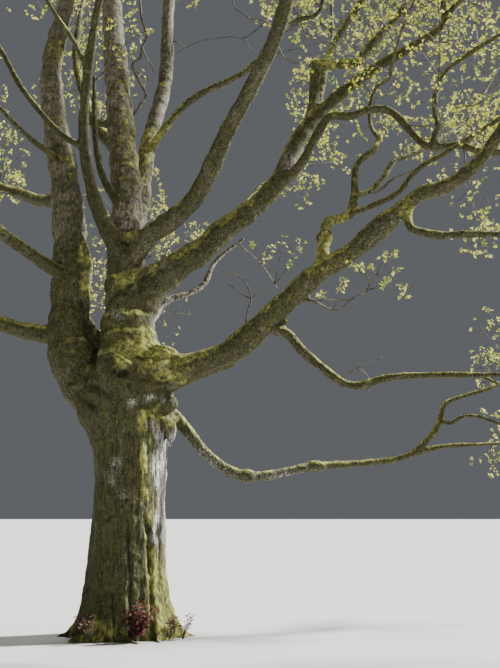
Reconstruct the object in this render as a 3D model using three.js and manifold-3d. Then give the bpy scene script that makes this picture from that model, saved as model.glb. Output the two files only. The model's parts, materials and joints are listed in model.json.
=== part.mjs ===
// Cappadocian maple: an old, low-forked tree in early leaf, built as separate solids.
// Millimetres. +X is to the right, +Y away from the viewer, +Z up.
// The origin is the centre of the flat cut under the trunk, at ground level.
import * as THREE from "three";
import { mergeVertices } from "three/addons/utils/BufferGeometryUtils.js";
import Module from "manifold-3d";

const wasm = await Module();
wasm.setup();
const { Manifold, Mesh: SolidMesh } = wasm;

// Driving dimensions
const METRE = 1000;
const GAP = 0.4;
const CUT_TOLERANCE = 0.02;
const UP = new THREE.Vector3(0, 0, 1);

const TRUNK = {
  height: 3.7 * METRE,
  sides: 24,
  rings: 14,
  // Height, half width, half depth and sideways lean of the trunk, in metres.
  stations: [
    [0, 0.6, 0.58, 0.02],
    [0.3, 0.56, 0.55, 0.01],
    [0.8, 0.525, 0.52, -0.01],
    [1.3, 0.505, 0.5, 0],
    [2.0, 0.485, 0.48, 0.02],
    [2.5, 0.51, 0.48, 0],
    [2.9, 0.62, 0.52, -0.06],
    [3.2, 0.68, 0.56, -0.08],
    [3.45, 0.62, 0.55, -0.06],
    [3.7, 0.54, 0.52, -0.03],
  ],
};

// Root buttresses: bearing in degrees from +X, reach at the ground, and how high each runs, in metres.
const BUTTRESSES = [
  { bearing: -8, reach: 0.24, rise: 0.36 },
  { bearing: -44, reach: 0.16, rise: 0.6 },
  { bearing: -84, reach: 0.1, rise: 0.75 },
  { bearing: -124, reach: 0.19, rise: 0.42 },
  { bearing: -170, reach: 0.2, rise: 0.38 },
  { bearing: 142, reach: 0.17, rise: 0.5 },
  { bearing: 96, reach: 0.21, rise: 0.4 },
  { bearing: 42, reach: 0.16, rise: 0.45 },
];
const BUTTRESS_SPREAD = THREE.MathUtils.degToRad(16);

// Burrs and callus lumps on the trunk's head: bearing, height, width and how far each stands out.
const BURRS = [
  { bearing: -38, height: 3.4, width: 0.28, stand: 0.1 },
  { bearing: -100, height: 3.45, width: 0.18, stand: 0.08 },
  { bearing: -24, height: 2.98, width: 0.22, stand: 0.1 },
  { bearing: 120, height: 3.2, width: 0.3, stand: 0.1 },
  { bearing: 200, height: 2.95, width: 0.3, stand: 0.07 },
];
const BURR_ROUNDNESS = 2;

// Limbs that the view shows, in the order they are cut clear of each other. foot and tip are
// radii; way is the route of the heartwood from inside the parent, as right, back and up. Metres.
const LIMBS = {
  stem_main: {
    foot: 0.5, tip: 0.255, taper: 1.8, sides: 14, rings: 7, collar: 0,
    way: [[-0.03, 0, 3.7], [-0.07, 0, 4.1], [-0.11, 0, 4.9], [-0.17, 0, 5.6]],
  },
  stem_left: {
    foot: 0.32, tip: 0.07, taper: 0.8, sides: 10, rings: 15, collar: 0.5,
    way: [
      [-0.3, 0, 3.0], [-0.77, 0.05, 3.55], [-0.95, 0.15, 4.1], [-0.98, 0.3, 5.0], [-1.12, 0.5, 6.3],
      [-1.55, 0.95, 8.6], [-1.42, 1.3, 10.1], [-1.35, 1.5, 11.4],
    ],
  },
  stem_centre: {
    foot: 0.235, tip: 0.07, taper: 0.6, sides: 9, rings: 11, collar: 0.05,
    way: [
      [-0.17, 0, 5.6], [-0.14, 0.1, 6.0], [-0.25, 0.35, 6.9], [-0.5, 0.85, 8.8],
      [-0.64, 1.2, 9.9], [-0.8, 1.5, 11.3], [-0.7, 1.7, 12.7],
    ],
  },
  stem_right: {
    foot: 0.14, tip: 0.06, taper: 0.5, sides: 8, rings: 10, collar: 0.1,
    way: [
      [-0.13, 0.06, 5.25], [0.02, 0.4, 6.27], [0.05, 0.8, 7.24], [0.26, 1.35, 8.7],
      [0.25, 1.75, 10.2], [0.4, 2.1, 11.9],
    ],
  },
  bough_high_right: {
    foot: 0.155, tip: 0.07, taper: 1.1, sides: 9, rings: 11, collar: 0.1,
    way: [
      [-0.12, -0.04, 5.1], [0.26, -0.4, 5.47], [0.6, -0.6, 5.65], [0.87, -0.75, 5.85],
      [1.09, -0.95, 6.14], [1.39, -1.25, 6.72], [1.67, -1.5, 7.14], [1.87, -1.72, 7.46],
      [2.05, -2, 7.8], [2.5, -2.5, 9.3],
    ],
  },
  bough_mid_right: {
    foot: 0.26, tip: 0.06, taper: 2, sides: 10, rings: 18, collar: 0.1,
    way: [
      [-0.06, 0, 4.25], [0.24, 0, 4.77], [0.67, 0.1, 5.2], [0.96, 0.17, 5.4], [1.27, 0.25, 5.74],
      [1.58, 0.32, 6], [1.87, 0.4, 6.28], [2.13, 0.46, 6.66], [2.42, 0.56, 7.32], [2.77, 0.66, 7.8],
      [3.64, 0.85, 8.62], [4.64, 1.08, 9.34], [4.89, 1.13, 9.59], [5.12, 1.2, 9.97], [5.7, 1.4, 10.6],
    ],
  },
  bough_long_right: {
    foot: 0.22, tip: 0.055, taper: 1.15, sides: 10, rings: 17,
    way: [
      [0.12, 0, 3.24], [0.67, -0.3, 3.53], [1.29, -0.5, 3.71], [1.64, -0.65, 3.94], [2.56, -1, 4.75],
      [2.94, -1.13, 4.96], [3.46, -1.32, 5.36], [3.93, -1.47, 5.72], [4.16, -1.55, 5.75],
      [4.53, -1.72, 5.97], [4.78, -1.85, 6.27], [5.4, -2.1, 7.3],
    ],
  },
  bough_low: {
    foot: 0.09, tip: 0.024, taper: 1.1, sides: 7, rings: 13,
    way: [
      [0.3, 0.02, 3.3], [0.8, 0.1, 2.74], [1.1, 0.1, 2.39], [1.59, 0.2, 2.13], [2.59, 0.5, 2.28],
      [3.22, 0.72, 2.33], [3.82, 0.9, 2.4], [4.1, 1, 2.48], [4.53, 1.1, 2.6], [5.17, 1.25, 2.65],
      [6.1, 1.7, 2.72],
    ],
  },
  bough_dark: {
    foot: 0.12, tip: 0.045, taper: 2.2, sides: 7, rings: 10, collar: 0.15,
    way: [
      [-0.18, -0.1, 5.2], [-0.39, -0.45, 5.62], [-0.55, -0.6, 6.07], [-0.65, -0.85, 6.9],
      [-0.55, -1.15, 7.7], [-0.42, -1.45, 8.25], [-0.1, -2.1, 9.1], [0.2, -2.9, 9.9],
    ],
  },
  bough_inner: {
    foot: 0.06, tip: 0.03, sides: 6, rings: 4,
    way: [[-0.22, 0.05, 6.0], [-0.46, -0.15, 6.4], [-0.6, -0.1, 6.95], [-0.7, 0.1, 8.15]],
  },
  bough_crossing: {
    foot: 0.062, tip: 0.035, sides: 6, rings: 9,
    way: [
      [0.05, 0.8, 7.1], [0.25, 0.62, 7.39], [0.64, 0.7, 7.94], [0.92, 0.8, 8.21], [1.32, 0.92, 8.47],
      [1.62, 1.02, 8.7], [2.15, 1.4, 9.6], [2.2, 1.6, 10.8],
    ],
  },
  bough_dark_spur: {
    foot: 0.046, tip: 0.03, sides: 5, rings: 6,
    way: [[-0.62, -0.8, 6.6], [-0.99, -0.7, 6.86], [-1.6, -0.6, 7.6], [-2.0, -0.5, 8.3], [-2.9, -0.4, 9.4]],
  },
  bough_high_fork: {
    foot: 0.035, tip: 0.024, sides: 5, rings: 7,
    way: [
      [2.07, -1.95, 7.76], [2.19, -1.85, 7.89], [2.33, -1.78, 8.01], [2.52, -1.72, 8.09],
      [2.61, -1.7, 8.19], [2.65, -1.66, 8.36], [3, -1.6, 9.4],
    ],
  },
  bough_elbow: {
    foot: 0.092, tip: 0.06, sides: 7, rings: 12,
    way: [
      [2.59, 0.6, 7.52], [2.68, 0.75, 7.96], [2.71, 0.88, 8.38], [2.77, 0.98, 8.72], [3.41, 0.97, 8.82],
      [3.58, 1.02, 9.04], [4.19, 1.3, 9.85], [4.9, 1.9, 11],
    ],
  },
  bough_elbow_up: {
    foot: 0.062, tip: 0.045, sides: 6, rings: 6,
    way: [
      [2.81, 0.98, 8.76], [2.91, 1.05, 8.9], [3.19, 1.25, 9.51], [3.57, 1.5, 10.2], [3.7, 1.55, 10.5],
      [3.9, 1.8, 11.4],
    ],
  },
  bough_arched: {
    foot: 0.075, tip: 0.04, taper: 1, sides: 7, rings: 14,
    way: [
      [2.1, 0.4, 6.49], [2.33, 0.32, 6.68], [2.47, 0.3, 6.85], [2.72, 0.28, 7.33], [2.88, 0.2, 7.53],
      [3.18, 0.1, 7.49], [3.43, 0, 7.54], [3.75, -0.08, 7.49], [4.16, -0.22, 6.95], [4.3, -0.3, 6.82],
      [4.68, -0.4, 6.82], [5.02, -0.5, 6.67], [5.9, -0.85, 6.6],
    ],
  },
  bough_arched_up: {
    foot: 0.048, tip: 0.03, sides: 5, rings: 8,
    way: [
      [4.36, -0.33, 6.82], [4.33, -0.35, 6.95], [4.41, -0.3, 7.13], [4.39, -0.25, 7.4],
      [4.41, -0.2, 7.67], [4.61, -0.1, 8.11], [4.91, 0, 8.4], [5.6, 0.15, 8.9],
    ],
  },
  bough_rising: {
    foot: 0.085, tip: 0.024, taper: 1.6, sides: 6, rings: 17,
    way: [
      [2.63, -1, 4.86], [2.69, -0.86, 5.38], [2.75, -0.8, 5.54], [2.93, -0.72, 5.61],
      [3.05, -0.68, 5.68], [3.11, -0.65, 5.85], [3.21, -0.5, 6.51], [3.45, -0.45, 6.73],
      [3.55, -0.2, 7.01], [3.49, 0.05, 7.28], [3.49, 0.2, 7.6], [3.53, 0.2, 7.85], [3.61, 0.15, 8],
      [3.8, 0.1, 8.11], [3.8, 0, 8.22], [3.9, -0.5, 8.6],
    ],
  },
  bough_side: {
    foot: 0.046, tip: 0.03, sides: 5, rings: 8,
    way: [
      [3.13, -0.62, 5.96], [3.34, -0.5, 6.08], [3.55, -0.4, 6.28], [3.75, -0.25, 6.62],
      [4.01, -0.12, 6.78], [4.26, 0.05, 6.95], [5.1, 0.8, 7.7],
    ],
  },
  bough_beside: {
    foot: 0.045, tip: 0.03, sides: 5, rings: 8,
    way: [
      [3.04, -0.68, 5.68], [3.46, -0.78, 5.82], [3.73, -0.8, 5.97], [3.92, -0.8, 6.22],
      [4.14, -0.8, 6.4], [4.35, -0.78, 6.52], [5.4, -0.8, 7.2],
    ],
  },
  bough_stub: {
    foot: 0.06, tip: 0.034, sides: 6, rings: 10,
    way: [
      [3.55, -1.34, 5.43], [3.69, -1.42, 5.45], [3.74, -1.56, 5.2], [3.83, -1.6, 5.15],
      [4.1, -1.72, 5.06], [4.33, -1.82, 5.05], [5.2, -2.2, 4.9],
    ],
  },
  bough_under: {
    foot: 0.072, tip: 0.026, taper: 1, sides: 6, rings: 12,
    way: [
      [1.94, -0.77, 4.16], [2.05, -0.79, 4.01], [2.17, -0.8, 3.98], [2.35, -0.85, 3.75],
      [2.73, -0.96, 3.4], [2.91, -1, 3.27], [3.1, -1.05, 3.24], [3.46, -1.15, 3.33], [4.75, -1.6, 3.3],
      [5.2, -1.65, 3.29],
    ],
  },
  bough_low_fork: {
    foot: 0.048, tip: 0.024, sides: 5, rings: 9, collar: 0.1,
    way: [
      [4.1, 1, 2.49], [4.28, 1.03, 2.64], [4.46, 1.08, 2.83], [4.56, 1.12, 3.01], [4.62, 1.15, 3.2],
      [4.68, 1.18, 3.28], [5.32, 1.3, 3.5], [5.9, 1.6, 3.72],
    ],
  },
  bough_pale: {
    foot: 0.065, tip: 0.022, sides: 6, rings: 8,
    way: [
      [0.1, 0.15, 4.2], [0.28, 0.4, 4.5], [0.42, 0.5, 4.73],
      [0.74, 0.6, 4.86], [0.97, 0.7, 5.04], [1.13, 0.8, 5.41], [1.58, 0.9, 5.82],
    ],
  },
};

// Boughs on the sides that the view hides. Each leaves a point on another limb's way. The
// bearing and rise are its first heading in degrees, and reach is its length in metres.
const HIDDEN_BOUGHS = {
  bough_left_low: {
    from: ["stem_left", 2], foot: 0.13, tip: 0.05,
    bearing: 184, rise: 16, reach: 4.2, seed: 61,
  },
  bough_left_front: {
    from: ["stem_left", 3], foot: 0.1, tip: 0.045,
    bearing: 236, rise: 16, reach: 3.9, seed: 62,
  },
  bough_left_back: {
    from: ["stem_left", 4], foot: 0.11, tip: 0.045,
    bearing: 128, rise: 12, reach: 4.5, seed: 63,
  },
  bough_front: {
    from: ["stem_left", 6], foot: 0.09, tip: 0.045,
    bearing: 254, rise: 18, reach: 4.0, seed: 65,
  },
  bough_back_left: {
    from: ["stem_centre", 2], foot: 0.12, tip: 0.05,
    bearing: 106, rise: 36, reach: 5.2, seed: 66,
  },
  bough_back_right: {
    from: ["bough_mid_right", 5], foot: 0.12, tip: 0.05,
    bearing: 60, rise: 34, reach: 5.0, seed: 67,
  },
  bough_back_low: {
    from: ["stem_main", 1], foot: 0.13, tip: 0.045,
    bearing: 96, rise: 8, reach: 5.6, seed: 68,
  },
};
const HIDDEN_RULE = { steps: 5, sides: 6, rings: 8, lift: 9, wander: 14 };
const LIMB_TAPER = 0.8;
const LIMB_COLLAR = 0.3;
const COLLAR_LENGTH = 1.8;

// Masses of twigs: the limb whose tip carries each, its length in metres, and its seed.
const MASSES = {
  twigs_left_top: { on: "stem_left", reach: 3.6, seed: 11 },
  twigs_top: { on: "stem_centre", reach: 3.1, seed: 12 },
  twigs_right_top: { on: "stem_right", reach: 3.2, seed: 13 },
  twigs_high_right: { on: "bough_high_right", reach: 3.2, seed: 14 },
  twigs_mid_right: { on: "bough_mid_right", reach: 3.0, seed: 15 },
  twigs_long_right: { on: "bough_long_right", reach: 3.2, seed: 16 },
  twigs_low: { on: "bough_low", reach: 2.5, seed: 17 },
  twigs_dark: { on: "bough_dark", reach: 3.2, seed: 18 },
  twigs_crossing: { on: "bough_crossing", reach: 3.3, seed: 19 },
  twigs_dark_spur: { on: "bough_dark_spur", reach: 2.9, seed: 20 },
  twigs_high_fork: { on: "bough_high_fork", reach: 2.8, seed: 21 },
  twigs_elbow: { on: "bough_elbow", reach: 2.8, seed: 22 },
  twigs_elbow_up: { on: "bough_elbow_up", reach: 2.9, seed: 23 },
  twigs_arched: { on: "bough_arched", reach: 2.9, seed: 24 },
  twigs_rising: { on: "bough_rising", reach: 2.6, seed: 25 },
  twigs_side: { on: "bough_side", reach: 3.0, seed: 26 },
  twigs_stub: { on: "bough_stub", reach: 3.0, seed: 27 },
  twigs_under: { on: "bough_under", reach: 2.9, seed: 28 },
  twigs_low_fork: { on: "bough_low_fork", reach: 2.6, seed: 29 },
  twigs_left_low: { on: "bough_left_low", reach: 3.0, seed: 30 },
  twigs_left_front: { on: "bough_left_front", reach: 3.2, seed: 31 },
  twigs_left_back: { on: "bough_left_back", reach: 3.0, seed: 32 },
  twigs_front: { on: "bough_front", reach: 3.1, seed: 34 },
  twigs_back_left: { on: "bough_back_left", reach: 3.4, seed: 35 },
  twigs_back_right: { on: "bough_back_right", reach: 3.3, seed: 36 },
  twigs_back_low: { on: "bough_back_low", reach: 3.2, seed: 37 },
};

// The rule that every mass grows by. Lengths with no unit are shares of the mass's reach.
const GROWTH = {
  nodes: 6,
  bend: 0.4,
  lift: 0.09,
  pairAngle: THREE.MathUtils.degToRad(52),
  angleJitter: THREE.MathUtils.degToRad(14),
  shootLength: 0.54,
  shootShortening: 0.5,
  shortestShoot: 0.75,
  longestShoot: 1.25,
  sunk: 30,
  stemSides: 4,
  stemFoot: 0.9,
  stemTip: 11,
  shootFoot: 0.55,
  shootTip: 6,
  testedAt: [0.3, 0.6, 1],
  room: 40,
  lowest: 1500,
};

// A spray of opening leaves and blossom stands for a whole cluster at a twig's end.
const SPRAY = { count: 1, length: 300, width: 170, thick: 16, droop: 0.25, turn: 0.6 };
const LEAF_WIDEST = 0.45;
const TWIG_SIDES = 3;

// Red-leaved suckers that rise from the root collar.
const SUCKERS = {
  suckers_front: { bearing: -73, shoots: 7, stalk: 190, lean: 1.1, seed: 51 },
  suckers_side: { bearing: -32, shoots: 5, stalk: 110, lean: 1.0, seed: 52 },
};
const SUCKER_KNOT = { foot: 75, top: 45, height: 110, sides: 6, fan: 2.6 };
const SUCKER_LEAF = { count: 3, length: 95, width: 80, thick: 9, droop: 0.4, turn: 0.7 };
const SUCKER_STALK = { foot: 11, tip: 6, least: 0.4 };

const BARK = { color: 0x5f5a3c, roughness: 0.95, metalness: 0 };
const PALE_BARK = { color: 0xb4ada0, roughness: 0.9, metalness: 0 };
const TWIG_LEAF = { color: 0xb9bf4a, roughness: 0.7, metalness: 0 };
const RED_LEAF = { color: 0x8e3a32, roughness: 0.6, metalness: 0 };

// A seeded random source, the same in any language that holds 32-bit whole numbers.
function randomSource(seed) {
  let state = seed * 7919 + 17;
  return () => {
    state = (Math.imul(state, 1664525) + 1013904223) >>> 0;
    return state / 4294967296;
  };
}

function point([right, back, up]) {
  return new THREE.Vector3(right, back, up).multiplyScalar(METRE);
}

function headingOf(bearing, rise) {
  const [turn, climb] = [bearing, rise].map(THREE.MathUtils.degToRad);
  return new THREE.Vector3(
    Math.cos(turn) * Math.cos(climb),
    Math.sin(turn) * Math.cos(climb),
    Math.sin(climb),
  );
}

// A hidden bough's route: it climbs a little more with each step and wanders from side to side.
function hiddenWay(bough) {
  const random = randomSource(bough.seed);
  const [parent, at] = bough.from;
  const spot = new THREE.Vector3(...LIMBS[parent].way[at]);
  const way = [spot.toArray()];
  for (let step = 0; step < HIDDEN_RULE.steps; step++) {
    const bearing = bough.bearing + (random() - 0.5) * 2 * HIDDEN_RULE.wander;
    const rise = bough.rise + step * HIDDEN_RULE.lift + (random() - 0.5) * HIDDEN_RULE.wander;
    spot.addScaledVector(headingOf(bearing, rise), bough.reach / HIDDEN_RULE.steps);
    way.push(spot.toArray());
  }
  return way;
}

function allLimbs() {
  const all = new Map(Object.entries(LIMBS));
  for (const [name, bough] of Object.entries(HIDDEN_BOUGHS)) {
    const { sides, rings } = HIDDEN_RULE;
    all.set(name, { foot: bough.foot, tip: bough.tip, sides, rings, way: hiddenWay(bough) });
  }
  return all;
}

// A closed three.js geometry as a manifold solid, once its shared corners are merged and
// the faces that shrank to nothing at a point are dropped.
function solidFrom(geometry) {
  const bare = geometry.clone();
  bare.deleteAttribute("normal");
  bare.deleteAttribute("uv");
  const merged = mergeVertices(bare, 1e-3);
  const faces = [];
  for (let i = 0; i < merged.index.count; i += 3) {
    const face = [0, 1, 2].map((corner) => merged.index.getX(i + corner));
    if (new Set(face).size === 3) faces.push(...face);
  }
  return new Manifold(
    new SolidMesh({
      numProp: 3,
      vertProperties: new Float32Array(merged.attributes.position.array),
      triVerts: new Uint32Array(faces),
    }),
  );
}

function geometryFrom(solid) {
  const made = solid.getMesh();
  const geometry = new THREE.BufferGeometry();
  geometry.setAttribute("position", new THREE.BufferAttribute(made.vertProperties, made.numProp));
  geometry.setIndex(new THREE.BufferAttribute(made.triVerts, 1));
  geometry.computeVertexNormals();
  return geometry;
}

// A cylinder bent along a curve, with its radius given at each share of the length.
function boughGeometry(curve, radiusAt, sides, rings) {
  const geometry = new THREE.CylinderGeometry(1, 1, 1, sides, rings);
  const frames = curve.computeFrenetFrames(rings);
  const corners = geometry.attributes.position;
  for (let i = 0; i < corners.count; i++) {
    const ring = Math.round((corners.getY(i) + 0.5) * rings);
    const radius = radiusAt(ring / rings);
    const place = curve.getPointAt(ring / rings);
    place.addScaledVector(frames.binormals[ring], corners.getX(i) * radius);
    place.addScaledVector(frames.normals[ring], corners.getZ(i) * radius);
    corners.setXYZ(i, place.x, place.y, place.z);
  }
  return geometry;
}

// A limb as a solid. Clearance makes it fatter, and longer at its tip.
function limbSolid(limb, clearance) {
  const way = limb.way.map(point);
  way.at(-1).addScaledVector(way.at(-1).clone().sub(way.at(-2)).normalize(), clearance);
  const curve = new THREE.CatmullRomCurve3(way, false, "centripetal");
  const length = curve.getLength();
  const collarLength = COLLAR_LENGTH * limb.foot * METRE;
  const taper = limb.taper ?? LIMB_TAPER;
  const collar = limb.collar ?? LIMB_COLLAR;
  const radiusAt = (share) => {
    const body = limb.tip + (limb.foot - limb.tip) * Math.pow(1 - share, taper);
    const swell = 1 + collar * Math.exp((-share * length) / collarLength);
    return body * swell * METRE + clearance;
  };
  return solidFrom(boughGeometry(curve, radiusAt, limb.sides, limb.rings));
}

// Straight-line blend between the trunk's stations.
function trunkAt(height) {
  const rows = TRUNK.stations;
  const next = Math.max(1, rows.findIndex((row) => row[0] >= height));
  const [below, above] = [rows[next - 1], rows[next]];
  const share = (height - below[0]) / (above[0] - below[0]);
  const mix = (column) => THREE.MathUtils.lerp(below[column], above[column], share);
  return { wide: mix(1), deep: mix(2), lean: mix(3) };
}

function turnBetween(a, b) {
  return Math.atan2(Math.sin(a - b), Math.cos(a - b));
}

// How far the trunk's surface stands out at a bearing and height, beyond its plain oval.
function trunkRelief(bearing, height) {
  let out = 0;
  for (const root of BUTTRESSES) {
    const turn = turnBetween(bearing, THREE.MathUtils.degToRad(root.bearing));
    out += root.reach * Math.exp(-((turn / BUTTRESS_SPREAD) ** 2) - height / root.rise);
  }
  for (const burr of BURRS) {
    const around = turnBetween(bearing, THREE.MathUtils.degToRad(burr.bearing));
    const apart = Math.hypot(around * trunkAt(height).wide, height - burr.height) / burr.width;
    out += burr.stand * Math.exp(-BURR_ROUNDNESS * apart ** 2);
  }
  return out;
}

// The trunk, from the cut at the ground to its fork. Clearance makes it fatter all round.
function trunkSolid(clearance) {
  const geometry = new THREE.CylinderGeometry(1, 1, TRUNK.height, TRUNK.sides, TRUNK.rings);
  geometry.rotateX(Math.PI / 2);
  geometry.translate(0, 0, TRUNK.height / 2);
  const corners = geometry.attributes.position;
  const top = TRUNK.height / METRE;
  for (let i = 0; i < corners.count; i++) {
    const height = THREE.MathUtils.clamp(corners.getZ(i) / METRE, 0, top);
    const share = Math.hypot(corners.getX(i), corners.getY(i));
    const bearing = Math.atan2(corners.getY(i), corners.getX(i));
    const { wide, deep, lean } = trunkAt(height);
    const out = trunkRelief(bearing, height) + clearance / METRE;
    const x = lean + share * Math.cos(bearing) * (wide + out);
    const y = share * Math.sin(bearing) * (deep + out);
    const atEnd = (height === top ? 1 : 0) - (height === 0 ? 1 : 0);
    corners.setXYZ(i, x * METRE, y * METRE, height * METRE + atEnd * clearance);
  }
  return solidFrom(geometry);
}

function largestBody(solid) {
  const bodies = solid.decompose();
  return bodies.reduce((best, body) => (body.volume() > best.volume() ? body : best));
}

// Each limb is cut clear of the trunk and of the limbs before it.
function buildLimbs(limbs) {
  const made = new Map([["trunk", largestBody(trunkSolid(0)).simplify(CUT_TOLERANCE)]]);
  const cutters = [trunkSolid(GAP)];
  for (const [name, limb] of limbs) {
    const whole = limbSolid(limb, 0);
    const near = cutters.filter((cutter) => !whole.intersect(cutter).isEmpty());
    const cut = near.reduce((left, cutter) => left.subtract(cutter), whole);
    made.set(name, largestBody(cut).simplify(CUT_TOLERANCE));
    cutters.push(limbSolid(limb, GAP));
  }
  return made;
}

function jitter(random) {
  return new THREE.Vector3(random() - 0.5, random() - 0.5, random() - 0.5);
}

// The stem of a mass: it goes on from the limb's tip, wanders a little and lifts.
function growStem(mass, limb) {
  const random = randomSource(mass.seed);
  const tip = point(limb.way.at(-1));
  const heading = tip.clone().sub(point(limb.way.at(-2))).normalize();
  const step = (mass.reach * METRE) / GROWTH.nodes;
  const places = [tip.clone().addScaledVector(heading, -GROWTH.sunk)];
  const headings = [heading.clone()];
  for (let node = 0; node < GROWTH.nodes; node++) {
    heading.addScaledVector(jitter(random), GROWTH.bend);
    heading.z += GROWTH.lift;
    heading.normalize();
    places.push(places.at(-1).clone().addScaledVector(heading, step));
    headings.push(heading.clone());
  }
  const foot = limb.tip * METRE * GROWTH.stemFoot;
  return { places, headings, random, foot, limb };
}

function distanceToLine(place, line) {
  const nearest = new THREE.Vector3();
  let best = Infinity;
  for (let i = 1; i < line.length; i++) {
    new THREE.Line3(line[i - 1], line[i]).closestPointToPoint(place, true, nearest);
    best = Math.min(best, nearest.distanceTo(place));
  }
  return best;
}

// True where a place is nearer to its own stem than to any other, and clear of every limb.
function hasRoom(place, own, stems, limbLines) {
  if (place.z < GROWTH.lowest) return false;
  const home = distanceToLine(place, stems.get(own).places) + 2 * GROWTH.room;
  for (const [name, stem] of stems) {
    if (name !== own && distanceToLine(place, stem.places) < home) return false;
  }
  return limbLines.every(({ line, thick }) => distanceToLine(place, line) > thick + GROWTH.room);
}

// A slim solid through a row of sections, each with its place, width and thickness.
function loft(sections, side) {
  const rings = sections.length - 1;
  const geometry = new THREE.CylinderGeometry(1, 1, 1, TWIG_SIDES, rings);
  const along = sections[rings].place.clone().sub(sections[0].place).normalize();
  const across = side.clone().addScaledVector(along, -side.dot(along)).normalize();
  const through = new THREE.Vector3().crossVectors(across, along);
  const corners = geometry.attributes.position;
  for (let i = 0; i < corners.count; i++) {
    const { place, width, thick } = sections[Math.round((corners.getY(i) + 0.5) * rings)];
    const spot = place.clone().addScaledVector(across, (corners.getX(i) * width) / 2);
    spot.addScaledVector(through, (corners.getZ(i) * thick) / 2);
    corners.setXYZ(i, spot.x, spot.y, spot.z);
  }
  return solidFrom(geometry);
}

// A shoot from its foot to its end, which goes on from there as a row of flat leaves or sprays.
function shootSolid(from, end, foot, tip, leaf, random) {
  const heading = end.clone().sub(from).normalize();
  const way = heading.clone().addScaledVector(jitter(random), leaf.turn);
  way.z -= leaf.droop * random();
  way.normalize();
  const side = new THREE.Vector3().crossVectors(way, UP).applyAxisAngle(way, random() * Math.PI);
  const sections = [{ place: from, width: 2 * foot, thick: 2 * foot }];
  for (let i = 0; i < leaf.count; i++) {
    const base = end.clone().addScaledVector(way, i * leaf.length);
    const middle = base.clone().addScaledVector(way, leaf.length * LEAF_WIDEST);
    sections.push({ place: base, width: 2 * tip, thick: 2 * tip });
    sections.push({ place: middle, width: leaf.width, thick: leaf.thick });
  }
  const last = end.clone().addScaledVector(way, leaf.count * leaf.length);
  sections.push({ place: last, width: 0, thick: 0 });
  return loft(sections, side);
}

// Shoots leave the stem in opposite pairs, each pair a quarter turn from the last.
function growMass(name, mass, stems, limbLines) {
  const { places, headings, random, foot, limb } = stems.get(name);
  const path = new THREE.CatmullRomCurve3(places, false, "centripetal");
  const radiusAt = (share) => THREE.MathUtils.lerp(foot, GROWTH.stemTip, share);
  const pieces = [solidFrom(boughGeometry(path, radiusAt, GROWTH.stemSides, GROWTH.nodes))];
  const last = places.at(-1);
  const lastEnd = last.clone().addScaledVector(headings.at(-1), SPRAY.length / 2);
  pieces.push(shootSolid(places.at(-2), lastEnd, GROWTH.shootTip, GROWTH.shootTip, SPRAY, random));
  for (let node = 1; node < GROWTH.nodes; node++) {
    const along = headings[node];
    const side = new THREE.Vector3().crossVectors(along, UP).normalize();
    side.applyAxisAngle(along, (node % 2) * (Math.PI / 2) + random() - 0.5);
    const root = places[node - 1].clone().lerp(places[node], 0.5);
    for (const hand of [1, -1]) {
      const angle = GROWTH.pairAngle + (random() - 0.5) * 2 * GROWTH.angleJitter;
      const heading = along.clone().multiplyScalar(Math.cos(angle));
      heading.addScaledVector(side, hand * Math.sin(angle));
      heading.addScaledVector(jitter(random), GROWTH.bend / 2).normalize();
      const shortening = 1 - (GROWTH.shootShortening * node) / GROWTH.nodes;
      const size = THREE.MathUtils.lerp(GROWTH.shortestShoot, GROWTH.longestShoot, random());
      const length = mass.reach * METRE * GROWTH.shootLength * shortening * size;
      const end = root.clone().addScaledVector(heading, length);
      const shootFoot = radiusAt(node / GROWTH.nodes) * GROWTH.shootFoot;
      const shoot = shootSolid(root, end, shootFoot, GROWTH.shootTip, SPRAY, random);
      const spots = GROWTH.testedAt.map((share) => root.clone().lerp(end, share));
      spots.push(end.clone().addScaledVector(heading, SPRAY.length));
      if (spots.every((spot) => hasRoom(spot, name, stems, limbLines))) pieces.push(shoot);
    }
  }
  const whole = Manifold.union(pieces).subtract(limbSolid(limb, GAP));
  return largestBody(whole).simplify(CUT_TOLERANCE);
}

function buildMasses(limbs) {
  const stems = new Map();
  for (const [name, mass] of Object.entries(MASSES)) {
    stems.set(name, growStem(mass, limbs.get(mass.on)));
  }
  const limbLines = [...limbs.values()].map((limb) => {
    return { line: limb.way.map(point), thick: limb.foot * METRE };
  });
  const made = new Map();
  for (const [name, mass] of Object.entries(MASSES)) {
    made.set(name, growMass(name, mass, stems, limbLines));
  }
  return made;
}

// A knot of young wood on the root collar, with leafy shoots that fan out from it.
function growSuckers(sucker) {
  const random = randomSource(sucker.seed);
  const bearing = THREE.MathUtils.degToRad(sucker.bearing);
  const { wide, deep, lean } = trunkAt(0);
  const relief = trunkRelief(bearing, 0);
  const middle = new THREE.Vector3(
    (lean + Math.cos(bearing) * (wide + relief)) * METRE,
    Math.sin(bearing) * (deep + relief) * METRE,
    SUCKER_KNOT.height / 2,
  );
  const { foot, top, height, sides } = SUCKER_KNOT;
  const knot = new THREE.CylinderGeometry(top, foot, height, sides);
  knot.rotateX(Math.PI / 2);
  knot.translate(middle.x, middle.y, middle.z);
  const pieces = [solidFrom(knot)];
  for (let i = 0; i < sucker.shoots; i++) {
    const fan = bearing + ((i + 0.5) / sucker.shoots - 0.5) * SUCKER_KNOT.fan;
    const lean = sucker.lean * THREE.MathUtils.lerp(SUCKER_STALK.least, 1, random());
    const heading = new THREE.Vector3(Math.cos(fan) * lean, Math.sin(fan) * lean, 1).normalize();
    const stalk = sucker.stalk * THREE.MathUtils.lerp(SUCKER_STALK.least, 1, random());
    const end = middle.clone().addScaledVector(heading, stalk);
    pieces.push(shootSolid(middle, end, SUCKER_STALK.foot, SUCKER_STALK.tip, SUCKER_LEAF, random));
  }
  return Manifold.union(pieces);
}

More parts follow.
